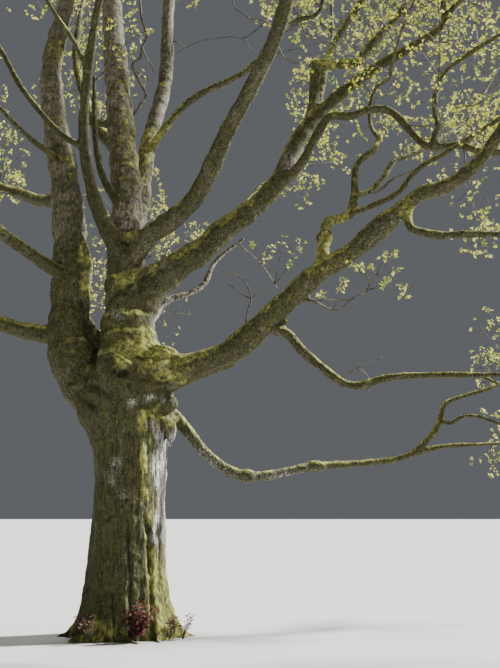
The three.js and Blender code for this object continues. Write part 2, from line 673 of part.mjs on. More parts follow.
function addNode(group, name, solid, finish) {
  const mesh = new THREE.Mesh(geometryFrom(solid), new THREE.MeshStandardMaterial(finish));
  mesh.name = name;
  group.add(mesh);
}

const tree = new THREE.Group();
const limbs = allLimbs();
for (const [name, solid] of buildLimbs(limbs)) {
  addNode(tree, name, solid, name === "bough_pale" ? PALE_BARK : BARK);
}
for (const [name, solid] of buildMasses(limbs)) {
  addNode(tree, name, solid, TWIG_LEAF);
}
for (const [name, sucker] of Object.entries(SUCKERS)) {
  const clump = growSuckers(sucker).subtract(trunkSolid(GAP));
  addNode(tree, name, largestBody(clump).simplify(CUT_TOLERANCE), RED_LEAF);
}

export default tree;
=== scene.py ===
"""An old cappadocian maple in early leaf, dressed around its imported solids, in metres with +Z up."""
import json
import math

import bpy
import numpy as np
from bpy.props import FloatProperty, FloatVectorProperty, PointerProperty
from mathutils import Matrix, Vector, noise

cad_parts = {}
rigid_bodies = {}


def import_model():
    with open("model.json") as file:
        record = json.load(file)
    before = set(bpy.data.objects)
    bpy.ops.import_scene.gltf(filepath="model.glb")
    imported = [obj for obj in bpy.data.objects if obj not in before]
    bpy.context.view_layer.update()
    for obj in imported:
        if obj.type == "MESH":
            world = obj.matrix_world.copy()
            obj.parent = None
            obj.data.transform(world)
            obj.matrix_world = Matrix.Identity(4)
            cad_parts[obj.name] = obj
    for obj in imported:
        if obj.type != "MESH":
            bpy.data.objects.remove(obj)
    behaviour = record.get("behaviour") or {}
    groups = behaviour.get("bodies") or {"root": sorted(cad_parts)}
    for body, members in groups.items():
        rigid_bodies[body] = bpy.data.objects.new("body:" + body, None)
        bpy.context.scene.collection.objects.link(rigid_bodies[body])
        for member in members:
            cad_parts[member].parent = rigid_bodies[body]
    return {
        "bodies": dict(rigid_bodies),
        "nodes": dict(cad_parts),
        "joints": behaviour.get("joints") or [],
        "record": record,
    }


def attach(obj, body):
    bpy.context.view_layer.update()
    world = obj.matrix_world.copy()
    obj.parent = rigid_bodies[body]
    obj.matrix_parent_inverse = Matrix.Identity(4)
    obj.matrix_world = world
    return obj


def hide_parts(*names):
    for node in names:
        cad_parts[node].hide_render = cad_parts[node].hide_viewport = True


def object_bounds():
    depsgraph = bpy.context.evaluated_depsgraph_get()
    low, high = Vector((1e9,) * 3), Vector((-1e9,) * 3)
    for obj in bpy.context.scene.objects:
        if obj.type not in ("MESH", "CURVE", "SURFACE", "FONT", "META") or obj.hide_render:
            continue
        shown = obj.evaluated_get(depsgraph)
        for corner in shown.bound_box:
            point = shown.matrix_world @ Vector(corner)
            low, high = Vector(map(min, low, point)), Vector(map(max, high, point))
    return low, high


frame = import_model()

bl_info = {
    "name": "Cappadocian maple",
    "version": (1, 0, 0),
    "blender": (4, 5, 0),
    "location": "3D View > Sidebar > Maple",
    "description": "Mossy bark, twigs, opening leaves and red suckers of an old maple",
    "category": "Add Mesh",
}

CAD_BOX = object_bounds()
UP = Vector((0, 0, 1))
UPRIGHT = 0.95

# The trunk: height, half width, half depth and sideways lean at each station.
TRUNK_STATIONS = np.array([
    (0, 0.6, 0.58, 0.02), (0.3, 0.56, 0.55, 0.01), (0.8, 0.525, 0.52, -0.01), (1.3, 0.505, 0.5, 0),
    (2.0, 0.485, 0.48, 0.02), (2.5, 0.51, 0.48, 0), (2.9, 0.62, 0.52, -0.06), (3.2, 0.68, 0.56, -0.08),
    (3.45, 0.62, 0.55, -0.06), (3.7, 0.54, 0.52, -0.03),
])
TRUNK_TOP = 3.7
TRUNK_SINK = 0.12
TRUNK_SIDES = 96
TRUNK_RINGS = 40

# Root buttresses: bearing in degrees from +X, reach at the ground, and how high each runs.
BUTTRESSES = [
    (-8, 0.24, 0.36), (-44, 0.16, 0.6), (-84, 0.1, 0.75), (-124, 0.19, 0.42),
    (-170, 0.2, 0.38), (142, 0.17, 0.5), (96, 0.21, 0.4), (42, 0.16, 0.45),
]
BUTTRESS_SPREAD = math.radians(16)

# Burrs: bearing, height, width and how far each stands out.
BURRS = [
    (-38, 3.4, 0.28, 0.1), (-100, 3.45, 0.18, 0.08), (-24, 2.98, 0.22, 0.1),
    (120, 3.2, 0.3, 0.1), (200, 2.95, 0.3, 0.07),
]
BURR_ROUNDNESS = 2

# Roots that run out from the flare: bearing, how far each bends, reach and thickness.
ROOTS = [
    (-8, 9, 0.98, 0.09), (-27, -8, 0.8, 0.05), (-44, -10, 0.88, 0.08), (-84, 12, 0.86, 0.07),
    (-106, -7, 0.8, 0.05), (-124, -9, 0.96, 0.09), (-148, 8, 0.86, 0.06), (-170, -6, 0.98, 0.09),
    (142, 10, 0.95, 0.09), (118, 6, 0.85, 0.06), (96, -10, 0.98, 0.09), (68, 8, 0.84, 0.06),
    (42, 10, 0.93, 0.08), (18, -6, 0.85, 0.06),
]
ROOT_START, ROOT_HEIGHT, ROOT_END = 0.42, 0.36, 0.022
ROOT_POINTS = 14

# Limbs: radius at the foot and the tip, how the taper runs, the swelling at the foot, and the route.
LIMBS = {
    "stem_main": (0.5, 0.255, 1.8, 0, [(-0.03, 0, 3.7), (-0.07, 0, 4.1), (-0.11, 0, 4.9), (-0.17, 0, 5.6)]),
    "stem_left": (0.32, 0.07, 0.8, 0.5, [
        (-0.3, 0, 3.0), (-0.77, 0.05, 3.55), (-0.95, 0.15, 4.1), (-0.98, 0.3, 5.0), (-1.12, 0.5, 6.3),
        (-1.55, 0.95, 8.6), (-1.42, 1.3, 10.1), (-1.35, 1.5, 11.4)]),
    "stem_centre": (0.235, 0.07, 0.6, 0.05, [
        (-0.17, 0, 5.6), (-0.14, 0.1, 6.0), (-0.25, 0.35, 6.9), (-0.5, 0.85, 8.8),
        (-0.64, 1.2, 9.9), (-0.8, 1.5, 11.3), (-0.7, 1.7, 12.7)]),
    "stem_right": (0.14, 0.06, 0.5, 0.1, [
        (-0.13, 0.06, 5.25), (0.02, 0.4, 6.27), (0.05, 0.8, 7.24), (0.26, 1.35, 8.7),
        (0.25, 1.75, 10.2), (0.4, 2.1, 11.9)]),
    "bough_high_right": (0.155, 0.07, 1.1, 0.1, [
        (-0.12, -0.04, 5.1), (0.26, -0.4, 5.47), (0.6, -0.6, 5.65), (0.87, -0.75, 5.85),
        (1.09, -0.95, 6.14), (1.39, -1.25, 6.72), (1.67, -1.5, 7.14), (1.87, -1.72, 7.46),
        (2.05, -2, 7.8), (2.5, -2.5, 9.3)]),
    "bough_mid_right": (0.26, 0.06, 2, 0.1, [
        (-0.06, 0, 4.25), (0.24, 0, 4.77), (0.67, 0.1, 5.2), (0.96, 0.17, 5.4), (1.27, 0.25, 5.74),
        (1.58, 0.32, 6), (1.87, 0.4, 6.28), (2.13, 0.46, 6.66), (2.42, 0.56, 7.32), (2.77, 0.66, 7.8),
        (3.64, 0.85, 8.62), (4.64, 1.08, 9.34), (4.89, 1.13, 9.59), (5.12, 1.2, 9.97), (5.7, 1.4, 10.6)]),
    "bough_long_right": (0.22, 0.055, 1.15, 0.3, [
        (0.12, 0, 3.24), (0.67, -0.3, 3.53), (1.29, -0.5, 3.71), (1.64, -0.65, 3.94), (2.56, -1, 4.75),
        (2.94, -1.13, 4.96), (3.46, -1.32, 5.36), (3.93, -1.47, 5.72), (4.16, -1.55, 5.75),
        (4.53, -1.72, 5.97), (4.78, -1.85, 6.27), (5.4, -2.1, 7.3)]),
    "bough_low": (0.09, 0.024, 1.1, 0.3, [
        (0.3, 0.02, 3.3), (0.8, 0.1, 2.74), (1.1, 0.1, 2.39), (1.59, 0.2, 2.13), (2.59, 0.5, 2.28),
        (3.22, 0.72, 2.33), (3.82, 0.9, 2.4), (4.1, 1, 2.48), (4.53, 1.1, 2.6), (5.17, 1.25, 2.65),
        (6.1, 1.7, 2.72)]),
    "bough_dark": (0.12, 0.045, 2.2, 0.15, [
        (-0.18, -0.1, 5.2), (-0.39, -0.45, 5.62), (-0.55, -0.6, 6.07), (-0.65, -0.85, 6.9),
        (-0.55, -1.15, 7.7), (-0.42, -1.45, 8.25), (-0.1, -2.1, 9.1), (0.2, -2.9, 9.9)]),
    "bough_inner": (0.06, 0.03, 0.8, 0.3, [
        (-0.22, 0.05, 6.0), (-0.46, -0.15, 6.4), (-0.6, -0.1, 6.95), (-0.7, 0.1, 8.15)]),
    "bough_crossing": (0.062, 0.035, 0.8, 0.3, [
        (0.05, 0.8, 7.1), (0.25, 0.62, 7.39), (0.64, 0.7, 7.94), (0.92, 0.8, 8.21), (1.32, 0.92, 8.47),
        (1.62, 1.02, 8.7), (2.15, 1.4, 9.6), (2.2, 1.6, 10.8)]),
    "bough_dark_spur": (0.046, 0.03, 0.8, 0.3, [
        (-0.62, -0.8, 6.6), (-0.99, -0.7, 6.86), (-1.6, -0.6, 7.6), (-2.0, -0.5, 8.3), (-2.9, -0.4, 9.4)]),
    "bough_high_fork": (0.035, 0.024, 0.8, 0.3, [
        (2.07, -1.95, 7.76), (2.19, -1.85, 7.89), (2.33, -1.78, 8.01), (2.52, -1.72, 8.09),
        (2.61, -1.7, 8.19), (2.65, -1.66, 8.36), (3, -1.6, 9.4)]),
    "bough_elbow": (0.092, 0.06, 0.8, 0.3, [
        (2.59, 0.6, 7.52), (2.68, 0.75, 7.96), (2.71, 0.88, 8.38), (2.77, 0.98, 8.72),
        (3.41, 0.97, 8.82), (3.58, 1.02, 9.04), (4.19, 1.3, 9.85), (4.9, 1.9, 11)]),
    "bough_elbow_up": (0.062, 0.045, 0.8, 0.3, [
        (2.81, 0.98, 8.76), (2.91, 1.05, 8.9), (3.19, 1.25, 9.51), (3.57, 1.5, 10.2), (3.7, 1.55, 10.5),
        (3.9, 1.8, 11.4)]),
    "bough_arched": (0.075, 0.04, 1, 0.3, [
        (2.1, 0.4, 6.49), (2.33, 0.32, 6.68), (2.47, 0.3, 6.85), (2.72, 0.28, 7.33), (2.88, 0.2, 7.53),
        (3.18, 0.1, 7.49), (3.43, 0, 7.54), (3.75, -0.08, 7.49), (4.16, -0.22, 6.95), (4.3, -0.3, 6.82),
        (4.68, -0.4, 6.82), (5.02, -0.5, 6.67), (5.9, -0.85, 6.6)]),
    "bough_arched_up": (0.048, 0.03, 0.8, 0.3, [
        (4.36, -0.33, 6.82), (4.33, -0.35, 6.95), (4.41, -0.3, 7.13), (4.39, -0.25, 7.4),
        (4.41, -0.2, 7.67), (4.61, -0.1, 8.11), (4.91, 0, 8.4), (5.6, 0.15, 8.9)]),
    "bough_rising": (0.085, 0.024, 1.6, 0.3, [
        (2.63, -1, 4.86), (2.69, -0.86, 5.38), (2.75, -0.8, 5.54), (2.93, -0.72, 5.61),
        (3.05, -0.68, 5.68), (3.11, -0.65, 5.85), (3.21, -0.5, 6.51), (3.45, -0.45, 6.73),
        (3.55, -0.2, 7.01), (3.49, 0.05, 7.28), (3.49, 0.2, 7.6), (3.53, 0.2, 7.85), (3.61, 0.15, 8),
        (3.8, 0.1, 8.11), (3.8, 0, 8.22), (3.9, -0.5, 8.6)]),
    "bough_side": (0.046, 0.03, 0.8, 0.3, [
        (3.13, -0.62, 5.96), (3.34, -0.5, 6.08), (3.55, -0.4, 6.28), (3.75, -0.25, 6.62),
        (4.01, -0.12, 6.78), (4.26, 0.05, 6.95), (5.1, 0.8, 7.7)]),
    "bough_beside": (0.045, 0.03, 0.8, 0.3, [
        (3.04, -0.68, 5.68), (3.46, -0.78, 5.82), (3.73, -0.8, 5.97), (3.92, -0.8, 6.22),
        (4.14, -0.8, 6.4), (4.35, -0.78, 6.52), (5.4, -0.8, 7.2)]),
    "bough_stub": (0.06, 0.034, 0.8, 0.3, [
        (3.55, -1.34, 5.43), (3.69, -1.42, 5.45), (3.74, -1.56, 5.2), (3.83, -1.6, 5.15),
        (4.1, -1.72, 5.06), (4.33, -1.82, 5.05), (5.2, -2.2, 4.9)]),
    "bough_under": (0.072, 0.026, 1, 0.3, [
        (1.94, -0.77, 4.16), (2.05, -0.79, 4.01), (2.17, -0.8, 3.98), (2.35, -0.85, 3.75),
        (2.73, -0.96, 3.4), (2.91, -1, 3.27), (3.1, -1.05, 3.24), (3.46, -1.15, 3.33),
        (4.75, -1.6, 3.3), (5.2, -1.65, 3.29)]),
    "bough_low_fork": (0.048, 0.024, 0.8, 0.1, [
        (4.1, 1, 2.49), (4.28, 1.03, 2.64), (4.46, 1.08, 2.83), (4.56, 1.12, 3.01), (4.62, 1.15, 3.2),
        (4.68, 1.18, 3.28), (5.32, 1.3, 3.5), (5.9, 1.6, 3.72)]),
    "bough_pale": (0.065, 0.022, 0.8, 0.3, [
        (0.1, 0.15, 4.2), (0.28, 0.4, 4.5), (0.42, 0.5, 4.73), (0.74, 0.6, 4.86),
        (0.97, 0.7, 5.04), (1.13, 0.8, 5.41), (1.58, 0.9, 5.82)]),
}

# Boughs on the hidden sides: the limb and way point that each leaves, radii, bearing, rise, reach and seed.
HIDDEN_BOUGHS = {
    "bough_left_low": ("stem_left", 2, 0.13, 0.05, 184, 16, 4.2, 61),
    "bough_left_front": ("stem_left", 3, 0.1, 0.045, 236, 16, 3.9, 62),
    "bough_left_back": ("stem_left", 4, 0.11, 0.045, 128, 12, 4.5, 63),
    "bough_front": ("stem_left", 6, 0.09, 0.045, 254, 18, 4.0, 65),
    "bough_back_left": ("stem_centre", 2, 0.12, 0.05, 106, 36, 5.2, 66),
    "bough_back_right": ("bough_mid_right", 5, 0.12, 0.05, 60, 34, 5.0, 67),
    "bough_back_low": ("stem_main", 1, 0.13, 0.045, 96, 8, 5.6, 68),
}
HIDDEN_STEPS, HIDDEN_LIFT, HIDDEN_WANDER = 5, 9, 14
LIMB_TAPER, LIMB_COLLAR, COLLAR_LENGTH = 0.8, 0.3, 1.8
ROUTE_SPACING = 0.09
CURVE_STEPS = 24

# Masses of twigs: the limb whose tip carries each, its reach, its seed, and the part of the crown it is in.
MASSES = {
    "twigs_left_top": ("stem_left", 3.6, 11, "top"),
    "twigs_top": ("stem_centre", 3.1, 12, "top"),
    "twigs_right_top": ("stem_right", 3.2, 13, "top"),
    "twigs_high_right": ("bough_high_right", 3.2, 14, "front"),
    "twigs_mid_right": ("bough_mid_right", 3.0, 15, "right"),
    "twigs_long_right": ("bough_long_right", 3.2, 16, "right"),
    "twigs_low": ("bough_low", 2.5, 17, "low"),
    "twigs_dark": ("bough_dark", 3.2, 18, "front"),
    "twigs_crossing": ("bough_crossing", 3.3, 19, "top"),
    "twigs_dark_spur": ("bough_dark_spur", 2.9, 20, "left"),
    "twigs_high_fork": ("bough_high_fork", 2.8, 21, "front"),
    "twigs_elbow": ("bough_elbow", 2.8, 22, "right"),
    "twigs_elbow_up": ("bough_elbow_up", 2.9, 23, "right"),
    "twigs_arched": ("bough_arched", 2.9, 24, "right"),
    "twigs_rising": ("bough_rising", 2.6, 25, "right"),
    "twigs_side": ("bough_side", 3.0, 26, "right"),
    "twigs_stub": ("bough_stub", 3.0, 27, "low"),
    "twigs_under": ("bough_under", 2.9, 28, "low"),
    "twigs_low_fork": ("bough_low_fork", 2.6, 29, "low"),
    "twigs_left_low": ("bough_left_low", 3.0, 30, "left"),
    "twigs_left_front": ("bough_left_front", 3.2, 31, "left"),
    "twigs_left_back": ("bough_left_back", 3.0, 32, "left"),
    "twigs_front": ("bough_front", 3.1, 34, "front"),
    "twigs_back_left": ("bough_back_left", 3.4, 35, "back"),
    "twigs_back_right": ("bough_back_right", 3.3, 36, "back"),
    "twigs_back_low": ("bough_back_low", 3.2, 37, "back"),
}

# The rule that the solids' masses grow by. Lengths with no unit are shares of a mass's reach.
GROWTH_NODES = 6
GROWTH_BEND = 0.4
GROWTH_LIFT = 0.09
PAIR_ANGLE = math.radians(52)
PAIR_JITTER = math.radians(14)
SHOOT_LENGTH, SHOOT_SHORTENING = 0.54, 0.5
SHORTEST_SHOOT, LONGEST_SHOOT = 0.75, 1.25
STEM_SUNK = 0.03
STEM_FOOT, STEM_TIP = 0.9, 0.011
SHOOT_FOOT, SHOOT_TIP = 0.55, 0.006
ROOM_TESTED_AT = (0.3, 0.6, 1)
ROOM = 0.04
LOWEST = 1.5
SPRAY_LENGTH, SPRAY_DROOP, SPRAY_TURN = 0.3, 0.25, 0.6

# Where on a limb leafy side shoots begin, as a share of its length. A limb that is not here has none.
LEAFY_FROM = {
    "stem_left": 0.86, "stem_centre": 0.68, "stem_right": 0.8, "bough_high_right": 0.84,
    "bough_mid_right": 0.7, "bough_long_right": 0.78, "bough_low": 0.84, "bough_dark": 0.75,
    "bough_inner": 0.85, "bough_crossing": 0.55, "bough_dark_spur": 0.6, "bough_high_fork": 0.4,
    "bough_elbow": 0.45, "bough_elbow_up": 0.3, "bough_arched": 0.6, "bough_arched_up": 0.35,
    "bough_rising": 0.62, "bough_side": 0.55, "bough_beside": 0.55, "bough_stub": 0.6,
    "bough_under": 0.8, "bough_low_fork": 0.7, "bough_left_low": 0.45, "bough_left_front": 0.45,
    "bough_left_back": 0.45, "bough_front": 0.35, "bough_back_left": 0.4, "bough_back_right": 0.35,
    "bough_back_low": 0.5,
}
SIDE_SHOOT_SPACING = 0.36
# How many of the side shoots that point at the viewer are turned to the far side, where the limbs show clear.
BEHIND = 0.85

# Small forks in the skin that the solids leave out: the limb whose piece each is part of, radii and route.
SPURS = [
    ("bough_dark", 0.04, 0.027, [
        (-0.57, -1.12, 7.59), (-0.61, -1.15, 7.7), (-0.82, -1.2, 8.1), (-1.02, -1.2, 8.39),
        (-1.3, -1.3, 8.88)]),
    ("stem_left", 0.05, 0.027, [
        (-1.18, 0.6, 6.89), (-1.25, 0.5, 6.92), (-1.32, 0.3, 6.95), (-1.64, 0.15, 7.15), (-2.08, 0, 7.58),
        (-2.4, -0.1, 7.85)]),
    ("stem_centre", 0.07, 0.05, [
        (-0.36, 0.58, 7.58), (-0.46, 0.55, 7.56), (-0.59, 0.5, 7.54), (-0.77, 0.45, 7.57)]),
    ("bough_low_fork", 0.034, 0.02, [
        (4.58, 1.12, 3), (4.71, 1.08, 2.95), (4.82, 1.03, 3.02), (4.93, 0.97, 3.06), (5.11, 0.9, 3.04),
        (5.39, 0.8, 2.92), (5.67, 0.75, 2.91)]),
    ("bough_under", 0.03, 0.022, [
        (4.34, -1.43, 3.32), (4.5, -1.45, 3.31), (4.61, -1.45, 3.29), (4.74, -1.42, 3.24),
        (4.88, -1.4, 3.19), (5.08, -1.36, 3.17)]),
    ("bough_long_right", 0.042, 0.026, [
        (2.33, -0.88, 4.48), (2.39, -0.88, 4.41), (2.49, -0.9, 4.43)]),
    ("bough_long_right", 0.036, 0.022, [
        (2.02, -0.77, 4.06), (2.09, -0.78, 4.08), (2.17, -0.8, 4.15)]),
    ("bough_mid_right", 0.05, 0.03, [
        (0.36, -0.1, 5.02), (0.44, -0.2, 5.14), (0.44, -0.24, 5.24)]),
    ("bough_mid_right", 0.05, 0.03, [
        (4.94, 1.14, 9.63), (4.89, 1.12, 9.76), (4.89, 1.13, 9.99), (4.89, 1.15, 10.29),
        (4.83, 1.2, 10.81)]),
]

# Thin bare twigs that show in the gaps: part of the crown, radius at the foot, and route.
THIN_TWIGS = [
    ("right", 0.02, [
        (2.38, -0.88, 4.42), (2.47, -0.9, 4.4), (2.58, -0.92, 4.37), (2.67, -0.95, 4.3), (2.77, -1, 4.26),
        (2.86, -1.03, 4.26), (2.94, -1.08, 4.33), (3.05, -1.13, 4.41), (3.15, -1.2, 4.43),
        (3.21, -1.25, 4.47), (3.22, -1.3, 4.54), (3.24, -1.33, 4.59), (3.31, -1.35, 4.64)]),
    ("right", 0.014, [
        (2.42, -0.88, 4.43), (2.65, -0.93, 4.41), (2.82, -0.97, 4.4), (2.97, -1.05, 4.39),
        (3.05, -1.1, 4.41)]),
    ("right", 0.015, [
        (1.61, -0.62, 4.13), (1.64, -0.6, 4.34), (1.69, -0.55, 4.52), (1.62, -0.5, 4.72),
        (1.53, -0.45, 4.85), (1.39, -0.4, 4.92), (1.26, -0.38, 4.94)]),
    ("right", 0.014, [
        (1.49, 0.3, 5.57), (1.57, 0.28, 5.48), (1.78, 0.25, 5.28), (1.93, 0.2, 5.08), (2.02, 0.15, 4.91),
        (2.1, 0.1, 4.77)]),
    ("right", 0.01, [
        (1.69, -0.55, 4.52), (1.75, -0.55, 4.58), (1.84, -0.55, 4.64), (1.93, -0.55, 4.65),
        (2.01, -0.6, 4.61)]),
    ("right", 0.009, [
        (1.69, -0.55, 4.51), (1.55, -0.52, 4.59), (1.4, -0.5, 4.71), (1.28, -0.48, 4.81)]),
    ("right", 0.008, [
        (1.82, 0.22, 5.22), (1.88, 0.22, 5.25), (1.94, 0.22, 5.3), (2.01, 0.22, 5.34)]),
    ("low", 0.011, [
        (2.82, -0.98, 3.31), (2.93, -1, 3.39), (3.09, -1, 3.5), (3.29, -1, 3.57), (3.44, -1, 3.65)]),
    ("low", 0.009, [
        (3.06, -1, 3.48), (3.12, -1.02, 3.46), (3.19, -1.04, 3.38), (3.23, -1.06, 3.29),
        (3.24, -1.08, 3.22)]),
    ("low", 0.009, [
        (3.2, -1.06, 3.3), (3.2, -1.06, 3.18), (3.22, -1.06, 3.09)]),
    ("right", 0.014, [
        (3.94, -0.15, 7.22), (3.98, -0.2, 7.22), (4.14, -0.22, 7.19), (4.28, -0.25, 7.18),
        (4.34, -0.26, 7.15)]),
    ("right", 0.018, [
        (4.36, -0.27, 7.28), (4.43, -0.28, 7.28), (4.55, -0.3, 7.36), (4.72, -0.32, 7.45),
        (4.94, -0.35, 7.46), (5.15, -0.37, 7.58), (5.25, -0.38, 7.62), (5.54, -0.4, 7.7)]),
    ("right", 0.012, [
        (4.36, -0.27, 7.28), (4.47, -0.28, 7.19), (4.56, -0.3, 7.05), (4.62, -0.32, 6.98),
        (4.73, -0.34, 6.86)]),
    ("right", 0.024, [
        (3.31, -0.5, 6.07), (3.43, -0.55, 6.05), (3.57, -0.6, 6.13), (3.64, -0.62, 6.2),
        (3.77, -0.65, 6.26), (3.88, -0.66, 6.3), (4.03, -0.7, 6.36)]),
    ("right", 0.014, [
        (5.14, 1.2, 10.06), (5.29, 1.2, 10.04), (5.44, 1.18, 9.97), (5.56, 1.16, 9.92), (5.6, 1.15, 9.83),
        (5.7, 1.12, 9.68)]),
    ("right", 0.02, [
        (4.27, 1.33, 9.96), (4.42, 1.33, 10.01), (4.57, 1.33, 10.06), (4.69, 1.34, 10.11),
        (4.91, 1.35, 10.19)]),
    ("right", 0.014, [
        (4.74, 1.1, 9.44), (4.72, 1.1, 9.53), (4.64, 1.1, 9.55), (4.57, 1.08, 9.5)]),
    ("right", 0.01, [
        (4.62, 1.08, 9.27), (4.82, 1.05, 9.22), (5.02, 1.02, 9.16), (5.15, 1, 9.07), (5.33, 0.98, 9.05),
        (5.48, 0.96, 9.03)]),
    ("top", 0.011, [
        (2.12, 1.36, 9.66), (1.97, 1.3, 9.71), (1.94, 1.28, 9.72), (1.84, 1.27, 9.61), (1.7, 1.3, 9.51),
        (1.55, 1.33, 9.43), (1.4, 1.36, 9.48), (1.16, 1.4, 9.48), (0.82, 1.45, 9.45), (0.65, 1.48, 9.38),
        (0.52, 1.5, 9.32), (0.4, 1.52, 9.25)]),
    ("top", 0.018, [
        (2.12, 1.36, 9.66), (2.01, 1.3, 9.68), (1.9, 1.27, 9.73), (1.8, 1.25, 9.74), (1.67, 1.25, 9.75),
        (1.55, 1.25, 9.85), (1.43, 1.25, 9.92), (1.38, 1.25, 10.09), (1.35, 1.25, 10.39)]),
    ("top", 0.009, [
        (1.55, 1.33, 9.43), (1.64, 1.33, 9.33), (1.69, 1.33, 9.23), (1.75, 1.33, 9.09)]),
    ("top", 0.016, [
        (0.31, 1.58, 9.51), (0.38, 1.55, 9.51), (0.53, 1.5, 9.39), (0.62, 1.5, 9.37)]),
    ("top", 0.03, [
        (-0.27, 0.6, 7.65), (-0.12, 0.6, 7.79), (-0.04, 0.6, 7.94), (0.04, 0.6, 8.05), (-0.03, 0.6, 8.22),
        (-0.12, 0.62, 8.42), (-0.2, 0.65, 8.61), (-0.07, 0.7, 8.77), (-0.06, 0.72, 8.94), (0, 0.75, 9.09),
        (-0.03, 0.78, 9.32), (-0.08, 0.8, 9.47), (-0.13, 0.85, 9.86), (-0.16, 0.9, 10.16)]),
    ("top", 0.017, [
        (-0.06, 0.72, 8.94), (0.02, 0.72, 8.76), (0.1, 0.75, 8.64), (0.15, 0.78, 8.5)]),
    ("top", 0.014, [
        (-0.17, 0.64, 8.55), (-0.04, 0.66, 8.41), (0.15, 0.7, 8.34)]),
    ("front", 0.011, [
        (2.32, -1.78, 8), (2.38, -1.78, 7.86), (2.42, -1.78, 7.78), (2.47, -1.77, 7.78),
        (2.47, -1.76, 7.85)]),
    ("front", 0.011, [
        (2.3, -1.79, 8.01), (2.29, -1.8, 8.1), (2.23, -1.82, 8.16), (2.2, -1.85, 8.29)]),
    ("front", 0.012, [
        (2, -1.8, 7.63), (2.05, -1.82, 7.58), (2.09, -1.83, 7.47), (2.16, -1.84, 7.4), (2.22, -1.84, 7.36),
        (2.32, -1.84, 7.36), (2.37, -1.85, 7.38)]),
    ("front", 0.01, [
        (1.93, -1.72, 7.53), (1.88, -1.65, 7.35), (1.84, -1.6, 7.27), (1.76, -1.5, 7.17)]),
]

# Leafy shoots drawn where they show: part of the crown, foot, and end.
LEAFY_SHOOTS = [
    ("right", (2.04, 0.15, 4.9), [(1.86, 0.1, 5.32), (2.26, 0.05, 5.18), (2.4, 0.0, 5.35), (2.1, 0.1, 5.6)]),
    ("right", (1.78, 0.25, 5.28), [(1.7, 0.2, 5.5), (2.05, 0.2, 5.44), (2.48, 0.1, 5.5)]),
    ("right", (3.31, -1.35, 4.64), [
        (3.22, -1.4, 4.72), (3.42, -1.4, 4.9), (3.58, -1.45, 4.88), (3.14, -1.3, 4.78)]),
    ("right", (3.24, -1.33, 4.59), [
        (3.04, -1.3, 4.75), (2.93, -1.25, 4.8), (3.62, -1.35, 4.72), (3.7, -1.4, 4.42)]),
    ("right", (3.21, -1.25, 4.47), [
        (2.88, -1.15, 4.62), (3.4, -1.3, 4.52), (3.47, -1.35, 4.57), (3.66, -1.35, 4.5)]),
    ("right", (2.77, -1.0, 4.26), [(2.62, -0.95, 4.5), (2.87, -1.05, 4.56)]),
    ("low", (5.3, 0.83, 2.95), [(5.35, 0.85, 3.06), (5.2, 0.88, 3.12), (5.44, 0.8, 3.02)]),
]

# Lumps on the head of the trunk and on the boughs: place, and radii across, through and up.
LUMPS = [
    ((-0.01, -0.62, 3.6), (0.09, 0.075, 0.07)),
    ((0.46, -0.42, 3.55), (0.2, 0.14, 0.13)),
    ((0.3, -0.45, 3.62), (0.12, 0.1, 0.09)),
    ((0.45, -0.29, 3.76), (0.24, 0.19, 0.16)),
    ((0.53, -0.3, 3.1), (0.15, 0.12, 0.11)),
    ((0.32, -0.42, 3.2), (0.11, 0.08, 0.08)),
    ((-0.08, -0.02, 5.78), (0.15, 0.17, 0.3)),
    ((-0.08, -0.16, 5.64), (0.2, 0.14, 0.2)),
    ((1.0, -0.4, 3.64), (0.22, 0.18, 0.14)),
    ((-0.62, 0.02, 3.3), (0.2, 0.2, 0.24)),
    ((1.62, 0.2, 2.13), (0.14, 0.1, 0.1)),
    ((2.6, 0.5, 2.28), (0.17, 0.09, 0.09)),
    ((3.7, -1.46, 5.46), (0.085, 0.09, 0.08)),
    ((2.68, -0.88, 5.28), (0.11, 0.11, 0.13)),
    ((2.75, 0.98, 8.76), (0.12, 0.11, 0.1)),
]

